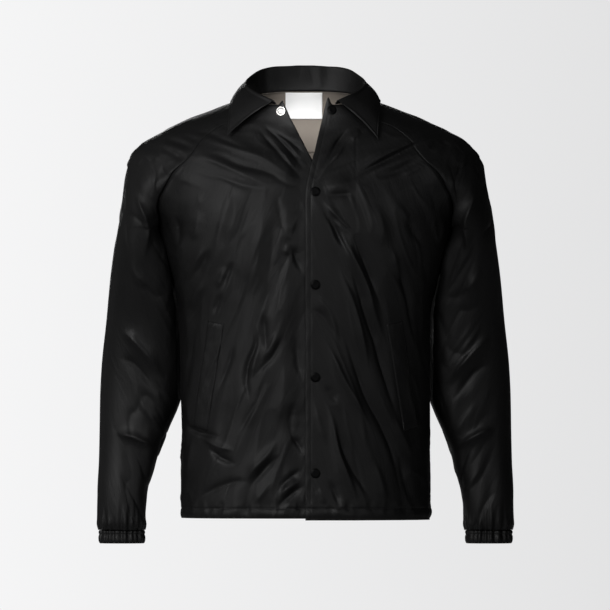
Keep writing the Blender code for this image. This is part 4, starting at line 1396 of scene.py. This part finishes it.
def collar_lines():
    """Points along the neck seam, the fold and the leaf's edge, from the right end to the left end."""
    half = np.array(COLLAR_HALF, float)
    right = half * np.array([-1, 1, 1, -1, 1, 1])
    left = half[::-1].copy()
    for from_end, amount in enumerate((1, 0.67, 0.33)):
        left[-1 - from_end, 3:] += np.array(LEFT_TIP_SHIFT) * amount
    table = np.concatenate([right, left[1:]])
    table = np.column_stack([np.arange(len(table)), table])
    last = len(table) - 1
    near_end = np.array([0, 0.008, 0.02, 0.045, 0.075, 0.09, 0.105])
    between = np.linspace(0.13, last - 0.13, COLLAR_COLUMNS - 2 * len(near_end))
    steps = np.concatenate([near_end, between, last - near_end[::-1]])
    curves = np.array([smooth(steps, table, column) for column in range(1, 7)]).T
    end = angle_at(COLLAR_END_X, float(half_width(NECK_Z)))
    angles = np.interp(steps, [0, last], [-end, end - 2 * math.pi])
    neck = raise_neckline(ring(NECK_Z, angles))
    to_end = np.minimum(steps, last - steps)
    neck[:, 2] += COLLAR_BASE_LIFT + COLLAR_END_LIFT * ease(1 - to_end)
    return neck, curves[:, :3], curves[:, 3:]


def collar_form():
    """Flat form of the collar: stand, fold and leaf, one section after another along its lines."""
    rows = []
    up = np.array([0, 0, 1.0])
    for base, fold, edge in zip(*collar_lines()):
        out = np.array([edge[0] - fold[0], edge[1] - fold[1], 0])
        out /= np.linalg.norm(out)
        middle = fold - up * COLLAR_FOLD_RADIUS
        inner = middle - out * COLLAR_FOLD_RADIUS
        outer = middle + out * COLLAR_FOLD_RADIUS
        row = []
        for share in np.linspace(0, 1, STAND_ROWS, endpoint=False):
            row.append(base + (inner - base) * share - out * 0.9 * math.sin(math.pi * share))
        for turn in np.linspace(math.pi, 0, FOLD_ROWS):
            row.append(middle + COLLAR_FOLD_RADIUS * (out * math.cos(turn) + up * math.sin(turn)))
        swell = np.cross(np.cross(out, edge - outer), edge - outer)
        swell /= -max(np.linalg.norm(swell), 1e-6)
        length = np.linalg.norm(edge - outer)
        from_edge = np.array([LEAF_STITCH + 1.1, LEAF_STITCH, LEAF_STITCH - 1.1, 2.2, 1.0, 0.3, 0])
        even = np.linspace(0, 1 - 9 / length, LEAF_ROWS - len(from_edge) + 1)[1:]
        shares = np.concatenate([even, 1 - from_edge / length])
        for share in shares:
            row.append(outer + (edge - outer) * share + swell * COLLAR_LEAF_BULGE * math.sin(math.pi * share))
        rows.append(row)
    return np.array(rows)


def collar_points():
    """The collar with its relief: soft waves, the stitch lines' grooves, rolled edges and two bends."""
    points = collar_form()
    normal = grid_normals(points)
    normal *= np.sign(normal[:, -8, 2].sum())
    from_side = np.minimum(*distances(points, 0))
    from_neck, from_leaf_edge = distances(points, 1)
    first_leaf_row = STAND_ROWS + FOLD_ROWS
    on_leaf = np.zeros(points.shape[:2])
    on_leaf[:, first_leaf_row:] = ease(np.arange(points.shape[1] - first_leaf_row) / 6)
    relief = 0.9 * soft_noise(points, 38, 41) + 0.35 * soft_noise(points, 14, 42)
    relief *= ease((from_neck - 4) / 10)
    within_sides = ease((from_side - LEAF_STITCH + 1) / 1.5)
    within_edge = ease((from_leaf_edge - LEAF_STITCH + 1) / 1.5)
    relief += groove(np.abs(from_leaf_edge - LEAF_STITCH), 0.45, 0.9) * within_sides
    relief += groove(np.abs(from_side - LEAF_STITCH), 0.45, 1.0) * on_leaf * within_edge
    from_border = np.minimum(from_leaf_edge, from_side)
    relief += 0.5 * on_leaf * np.exp(-((from_border - 2.6) ** 2) / 2.5)
    relief -= 0.7 * on_leaf * np.exp(-((from_border / 0.8) ** 2))
    x, y = points[..., 0], points[..., 1]
    bends = 1.6 * np.exp(-(((x + 66) / 9) ** 2)) - 1.4 * np.exp(-(((x - 24) / 8) ** 2))
    stand = 1 - ease((np.arange(points.shape[1]) - STAND_ROWS) / 4)
    relief -= bends * stand * (y > 30) * ease(from_neck / 12)
    return points + normal * relief[..., None]


collar = collar_points()
add_cloth("cloth_collar", collar, True, wall=1.5, nodes=["collar"])

# %% [markdown]
# ## Laying small pieces on a panel
# Welts, the label, snaps and stitches all sit on a panel. A helper finds the panel's nearest point in the front
# view, and goes on from it along the surface, so that whatever is laid there follows the folds.

# %% Laying small pieces on a panel
def laid_on(panel, x, z, lift):
    """Points and normals at each x and z over a panel, lifted off it towards the viewer at the front."""
    normals = grid_normals(panel)
    normals = normals * -np.sign(normals[..., 1:2])
    flat = panel.reshape(-1, 3)
    directions = normals.reshape(-1, 3)
    x, z = np.atleast_1d(np.asarray(x, float)), np.atleast_1d(np.asarray(z, float))
    index = [int(np.argmin((flat[:, 0] - a) ** 2 + (flat[:, 2] - b) ** 2)) for a, b in zip(x, z)]
    near, normal = flat[index], directions[index]
    y = near[:, 1] - (normal[:, 0] * (x - near[:, 0]) + normal[:, 2] * (z - near[:, 2])) / normal[:, 1]
    return np.stack([x, y, z], axis=-1) + normal * lift, normal


# %% [markdown]
# ## Pocket welts
# Each front has a slanted welt: a folded strip, stitched down round its edges, with a bar of stitches across each
# end. The strip is laid on the front, and its edges dip to meet the cloth below.

# %% Pocket welts
WELT = ((-165, -371), (-138, -376), (-167, -558), (-191, -550))
WELT_SIZE = (27.0, 184.0)
WELT_GRID = (15, 70)
WELT_LIFT = 1.1
WELT_EDGE_LIFT = 0.3
WELT_STITCH = 3.0


def welt_points(panel, side):
    """Grid of a welt on its front, top to bottom by inner to outer edge."""
    corners = np.array(WELT, float) * np.array([-side, 1])
    wide, long = WELT_GRID
    down, across = np.meshgrid(np.linspace(0, 1, long), np.linspace(0, 1, wide), indexing="ij")
    top = corners[0] + (corners[1] - corners[0]) * across[..., None]
    bottom = corners[3] + (corners[2] - corners[3]) * across[..., None]
    place = top + (bottom - top) * down[..., None]
    points, normal = laid_on(panel, place[..., 0].ravel(), place[..., 1].ravel(), 0)
    points, normal = points.reshape(*down.shape, 3), normal.reshape(*down.shape, 3)
    from_sides = np.minimum(across, 1 - across) * WELT_SIZE[0]
    from_border = np.minimum(from_sides, np.minimum(down, 1 - down) * WELT_SIZE[1])
    lift = WELT_EDGE_LIFT + (WELT_LIFT - WELT_EDGE_LIFT) * ease(from_border / 1.6)
    lift = lift + groove(from_border - WELT_STITCH, 0.6, 0.9) + 0.45 * soft_noise(points, PUCKER_SIZE, 51)
    return points + normal * lift[..., None]


welts = []
for name, panel, side in (("left", left_front, 1), ("right", right_front, -1)):
    welt = welt_points(panel, side)
    welts.append(welt)
    add_cloth(f"cloth_welt_{name}", welt, side < 0, wall=0.9, nodes=[f"welt_{name}"])

# %% [markdown]
# ## Lining and label
# Through the open neck you see the inside of the back: a plain light grey lining, and a plain white label sewn in
# just below the collar.

# %% Lining and label
LINING_DEPTH = 105.0
LINING_GAP = 1.6
LINING_INSET = 4
LABEL_X = (-34.0, 29.0)
LABEL_DROP = (1.0, 46.0)
LABEL_GRID = (24, 32)


def lining_points():
    """The part of the lining that shows: the inside of the back below the neck."""
    heights = back[:, BACK_COLUMNS // 2, 2]
    rows = np.nonzero(heights > heights[-1] - LINING_DEPTH)[0]
    columns = slice(LINING_INSET, -LINING_INSET)
    inward = -section_out(back)[rows][:, columns]
    shown = back[rows][:, columns]
    waves = 0.8 * soft_noise(shown, 30, 61)
    shown = shown + inward * (WALL + LINING_GAP + waves)[..., None]
    return set_back(shown, row_ends=(-1,), distance=0.8)


lining = lining_points()
add_cloth("cloth_lining", lining, False, wall=0.6, finish=LINING, nodes=["lining_back"])

label_z = lining[-1, lining.shape[1] // 2, 2]
drop, across = np.meshgrid(
    np.linspace(LABEL_DROP[1], LABEL_DROP[0], LABEL_GRID[0]), np.linspace(*LABEL_X, LABEL_GRID[1]), indexing="ij"
)
label, _ = laid_on(lining, across.ravel(), label_z - drop.ravel(), 1.1)
label = label.reshape(*LABEL_GRID, 3)
label[..., 1] += 0.5 * soft_noise(label, 22, 62)
add_cloth("cloth_label", label, False, wall=0.5, finish=LABEL, nodes=["label"])

# %% [markdown]
# ## Snaps
# Four black caps close the front, and a fifth at the neck is open, so its silver half shows on the right front. A
# snap is a turned part: a profile spun once round its axis, and then set on the cloth to face the way it does.

# %% Snaps
CAP_PROFILE = (
    # radius, height above the cloth
    (0, 2.3), (3.2, 2.35), (5.2, 2.5), (6.0, 2.45), (6.5, 2.1), (6.9, 1.35), (7.5, 1.15), (8.2, 1.0), (8.5, 0.6),
    (8.5, 0), (0, 0),
)
STUD_PROFILE = (
    (0, 0.5), (2.1, 0.5), (2.5, 0.9), (2.8, 2.0), (3.2, 2.35), (4.2, 2.35), (4.8, 2.0), (5.4, 1.1), (6.4, 0.85),
    (7.5, 0.95), (7.95, 0.6), (8.0, 0), (0, 0),
)
SNAP_STEPS = 48
EDGE_BEVEL = 0.15
BEVEL_ANGLE = 40.0


def add_snap(name, profile, panel, at, lift, finish, nodes):
    """A round snap part, spun from its profile and set on the panel."""
    place, facing = laid_on(panel, at[0], at[1], lift)
    place, facing = place[0], Vector(facing[0])
    bm = bmesh.new()
    ring_points = [bm.verts.new((radius * MM, 0, height * MM)) for radius, height in profile]
    edges = [bm.edges.new(pair) for pair in zip(ring_points, ring_points[1:])]
    bmesh.ops.spin(
        bm, geom=ring_points + edges, cent=(0, 0, 0), axis=(0, 0, 1), angle=math.tau, steps=SNAP_STEPS,
        use_merge=True,
    )
    bmesh.ops.remove_doubles(bm, verts=bm.verts, dist=1e-6)
    bmesh.ops.recalc_face_normals(bm, faces=bm.faces)
    turned = facing.to_track_quat("Z", "Y").to_matrix().to_4x4()
    bmesh.ops.transform(bm, matrix=Matrix.Translation(place * MM) @ turned, verts=bm.verts)
    mesh = bpy.data.meshes.new(name)
    bm.to_mesh(mesh)
    bm.free()
    mesh.shade_smooth()
    mesh.materials.append(finish)
    piece = bpy.data.objects.new(name, mesh)
    bpy.context.scene.collection.objects.link(piece)
    bevel = piece.modifiers.new("edges", "BEVEL")
    bevel.width = EDGE_BEVEL * MM
    bevel.segments = 2
    bevel.limit_method = "ANGLE"
    bevel.angle_limit = math.radians(BEVEL_ANGLE)
    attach(piece, "root")
    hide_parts(*nodes)
    print(name, len(mesh.polygons), "faces")
    return piece


for number, height in enumerate(SNAP_HEIGHTS, start=1):
    place = (SNAP_X, height)
    add_snap(f"cap_{number}", CAP_PROFILE, left_front, place, 0.2, CAP, [f"snap_cap_{number}"])
add_snap("cap_neck", CAP_PROFILE, left_front, NECK_CAP_AT, 0.6, CAP, ["snap_cap_neck"])
add_snap("stud_neck", STUD_PROFILE, right_front, NECK_STUD_AT, 0.4, METAL, ["snap_stud_neck"])

# %% [markdown]
# ## Stitches
# Black thread on black cloth hardly shows, but it catches the light. Each stitch is a small stretched sphere laid
# along a row: down the lap's edge, round the hem, down the welts and along the raglan seams. The collar and the
# cuffs have only their grooves. All rows of one kind are one piece, made of a shape with few faces because it
# repeats hundreds of times.

# %% Stitches
STITCH_LENGTH = 2.6
STITCH_GAP = 0.9
STITCH_RADIUS = 0.3
STITCH_LIFT = 0.12


def between(values, away, distance):
    """A point or normal at a distance along a line."""
    return np.array([np.interp(distance, away, values[:, axis]) for axis in range(3)])


def add_stitches(name, lines):
    """One piece of stitches along lines of points and normals."""
    bm = bmesh.new()
    count = 0
    for points, normals in lines:
        away = np.concatenate([[0], np.cumsum(np.linalg.norm(np.diff(points, axis=0), axis=1))])
        number = int(away[-1] // (STITCH_LENGTH + STITCH_GAP))
        if number < 1:
            continue
        for middle in (np.arange(number) + 0.5) * away[-1] / number:
            start = between(points, away, middle - STITCH_LENGTH / 2)
            stop = between(points, away, middle + STITCH_LENGTH / 2)
            normal = between(normals, away, middle)
            ahead = Vector(stop - start).normalized()
            side = Vector(normal).cross(ahead).normalized()
            turned = Matrix((side, Vector(normal).normalized(), ahead)).transposed().to_4x4()
            size = Matrix.Diagonal((STITCH_RADIUS * MM, STITCH_RADIUS * MM, STITCH_LENGTH / 2 * MM, 1))
            centre = Vector(((start + stop) / 2 + normal * STITCH_LIFT) * MM)
            bmesh.ops.create_uvsphere(
                bm, u_segments=6, v_segments=4, radius=1, matrix=Matrix.Translation(centre) @ turned @ size
            )
            count += 1
    mesh = bpy.data.meshes.new(name)
    bm.to_mesh(mesh)
    bm.free()
    mesh.shade_smooth()
    mesh.materials.append(THREAD)
    piece = bpy.data.objects.new(name, mesh)
    bpy.context.scene.collection.objects.link(piece)
    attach(piece, "root")
    print(name, count, "stitches")
    return piece


BODY_MIDDLE = np.array([0, 0, -300.0])
CHEST_MIDDLE = np.array([0, 0, -150.0])
HEM_MIDDLE = np.array([0, 0, -690.0])


def outward(points, normals, away_from):
    """Normals turned so that they face away from a point."""
    facing = ((points - away_from) * normals).sum(axis=-1, keepdims=True)
    return normals * np.where(facing < 0, -1, 1)


def hem_line(panel):
    """The row of a panel by the hem's stitches, with its normals."""
    row = int(np.argmin(np.abs(panel[:, panel.shape[1] // 2, 2] - HEM_STITCH_Z)))
    return panel[row], outward(panel, grid_normals(panel), HEM_MIDDLE)[row]


def column_line(panel, column, rows=slice(None), middle=BODY_MIDDLE):
    """A column of a panel, or some of its rows, with its normals."""
    normals = outward(panel, grid_normals(panel), middle)
    return panel[rows, column], normals[rows, column]


add_stitches("stitches_hem", [hem_line(panel) for panel in (left_front, right_front, back)])
add_stitches("stitches_lap", [column_line(left_front, LAP_STITCH_COLUMN)])
add_stitches("stitches_welts", [column_line(welt, column) for welt in welts for column in (1, -2)])
above_armpit = slice(SLEEVE_ROWS + 3, -2)
add_stitches(
    "stitches_raglan",
    [
        column_line(sleeve, column, above_armpit, CHEST_MIDDLE)
        for sleeve in (left_sleeve, right_sleeve)
        for column in (1, -2)
    ],
)

# %% [markdown]
# ## Floor
# A plain pale floor lies far below the jacket, out of the picture. It is a disc, because a floor needs no more, and
# it sends a little light up from below as a studio's floor does.

# %% Floor
FLOOR_Z = -1.45
FLOOR_RADIUS = 9.0

bm = bmesh.new()
bmesh.ops.create_circle(bm, cap_ends=True, segments=96, radius=FLOOR_RADIUS)
bmesh.ops.translate(bm, verts=bm.verts, vec=(0, 0, FLOOR_Z))
floor_mesh = bpy.data.meshes.new("floor")
bm.to_mesh(floor_mesh)
bm.free()
floor_material = bpy.data.materials.new("pale_floor")
floor_material.use_nodes = True
floor_shader = floor_material.node_tree.nodes["Principled BSDF"]
floor_shader.inputs["Base Color"].default_value = (0.86, 0.86, 0.865, 1)
floor_shader.inputs["Roughness"].default_value = 0.9
floor_mesh.materials.append(floor_material)
floor = bpy.data.objects.new("floor", floor_mesh)
bpy.context.scene.collection.objects.link(floor)
print("floor at", FLOOR_Z, "m,", len(floor_mesh.polygons), "face")

# %% [markdown]
# ## Background and soft light
# The world does two jobs. What the camera sees is a pale ground with painted shade: it is painted lighter at the
# left and darker at the right, as the light from the left falls off across it. What lights the cloth is another
# one: bright towards the left front and almost dark elsewhere, like a large soft window at the left. A light path
# tells the two apart, so that each can be set without spoiling the other.

# %% Background and soft light
VIEW_HALF_ANGLE = 1.04 * PICTURE_WIDTH / 2 / CAMERA_DISTANCE
# Painted light and shade of the background: the lit colour at the left, the darker painted shade at the right.
PAINTED_LIT_SIDE = (0.915, 0.915, 0.92)
PAINTED_SHADE_SIDE = (0.765, 0.765, 0.77)
BRIGHT_TOWARDS = (-0.78, -0.6, 0.18)
BRIGHT_RANGE = (-0.3, 0.95)
DIM_LIGHT = 0.02
BRIGHT_LIGHT = 0.42

world = bpy.data.worlds.new("studio")
bpy.context.scene.world = world
world.use_nodes = True
tree = world.node_tree
tree.nodes.clear()
direction = tree.nodes.new("ShaderNodeTexCoord")
parts = tree.nodes.new("ShaderNodeSeparateXYZ")
tree.links.new(direction.outputs["Generated"], parts.inputs[0])
across_view = tree.nodes.new("ShaderNodeMapRange")
across_view.inputs["From Min"].default_value = -VIEW_HALF_ANGLE
across_view.inputs["From Max"].default_value = VIEW_HALF_ANGLE
tree.links.new(parts.outputs["X"], across_view.inputs["Value"])
# Painted shade: the background the camera sees goes from the lit colour at the left to the darker one at the right.
pale = tree.nodes.new("ShaderNodeMix")
pale.data_type = "RGBA"
pale.inputs["A"].default_value = (*PAINTED_LIT_SIDE, 1)
pale.inputs["B"].default_value = (*PAINTED_SHADE_SIDE, 1)
tree.links.new(across_view.outputs["Result"], pale.inputs["Factor"])
seen = tree.nodes.new("ShaderNodeBackground")
tree.links.new(pale.outputs["Result"], seen.inputs["Color"])
lighting = tree.nodes.new("ShaderNodeBackground")
lighting.inputs["Color"].default_value = (1.0, 1.0, 1.0, 1)
towards = tree.nodes.new("ShaderNodeVectorMath")
towards.operation = "DOT_PRODUCT"
towards.inputs[1].default_value = BRIGHT_TOWARDS
tree.links.new(direction.outputs["Generated"], towards.inputs[0])
strength = tree.nodes.new("ShaderNodeMapRange")
strength.interpolation_type = "SMOOTHSTEP"
strength.inputs["From Min"].default_value = BRIGHT_RANGE[0]
strength.inputs["From Max"].default_value = BRIGHT_RANGE[1]
strength.inputs["To Min"].default_value = DIM_LIGHT
strength.inputs["To Max"].default_value = BRIGHT_LIGHT
tree.links.new(towards.outputs["Value"], strength.inputs["Value"])
tree.links.new(strength.outputs["Result"], lighting.inputs["Strength"])
path = tree.nodes.new("ShaderNodeLightPath")
either = tree.nodes.new("ShaderNodeMixShader")
tree.links.new(path.outputs["Is Camera Ray"], either.inputs["Fac"])
tree.links.new(lighting.outputs["Background"], either.inputs[1])
tree.links.new(seen.outputs["Background"], either.inputs[2])
output = tree.nodes.new("ShaderNodeOutputWorld")
tree.links.new(either.outputs["Shader"], output.inputs["Surface"])
bpy.context.scene.view_settings.view_transform = "Standard"
print("soft light from", DIM_LIGHT, "to", BRIGHT_LIGHT)

# %% [markdown]
# ## Lamps
# Four spots shape what the soft light leaves flat. The key at the upper left lights the jacket's right side and
# leaves the other one darker. The fill comes from the right but aims at the left, so that folds show a second edge
# there. The back one draws the outline, and a narrow one reaches into the neck, where the lining and label lie.
# A spot is chosen because its cone ends softly and touches nothing beside it.


# %% Lamps
def add_spot(name, at, aim, degrees, radius, watts):
    """A light whose cone fades out softly from its middle to its rim."""
    data = bpy.data.lights.new(name, "SPOT")
    data.energy = watts
    data.spot_size = math.radians(degrees)
    data.spot_blend = 1.0
    data.shadow_soft_size = radius
    lamp = bpy.data.objects.new(name, data)
    lamp.location = at
    lamp.rotation_euler = (Vector(aim) - Vector(at)).to_track_quat("-Z", "Y").to_euler()
    bpy.context.scene.collection.objects.link(lamp)
    return lamp


add_spot("key", (-2.1, -2.4, 0.6), (-0.8, 0, -0.38), 38, 1.3, 820)
add_spot("back", (-0.3, 3.1, 0.1), (0, 0.1, -0.35), 32, 0.8, 110)
add_spot("fill", (1.1, -2.9, 0.2), (-0.9, 0, -0.38), 25, 0.8, 260)
neck_lamp = add_spot("neck", (-0.2, -2.3, 0.5), (0, 0.07, -0.035), 2.5, 0.04, 430)
neck_lamp.scale = (1.9, 1, 1)
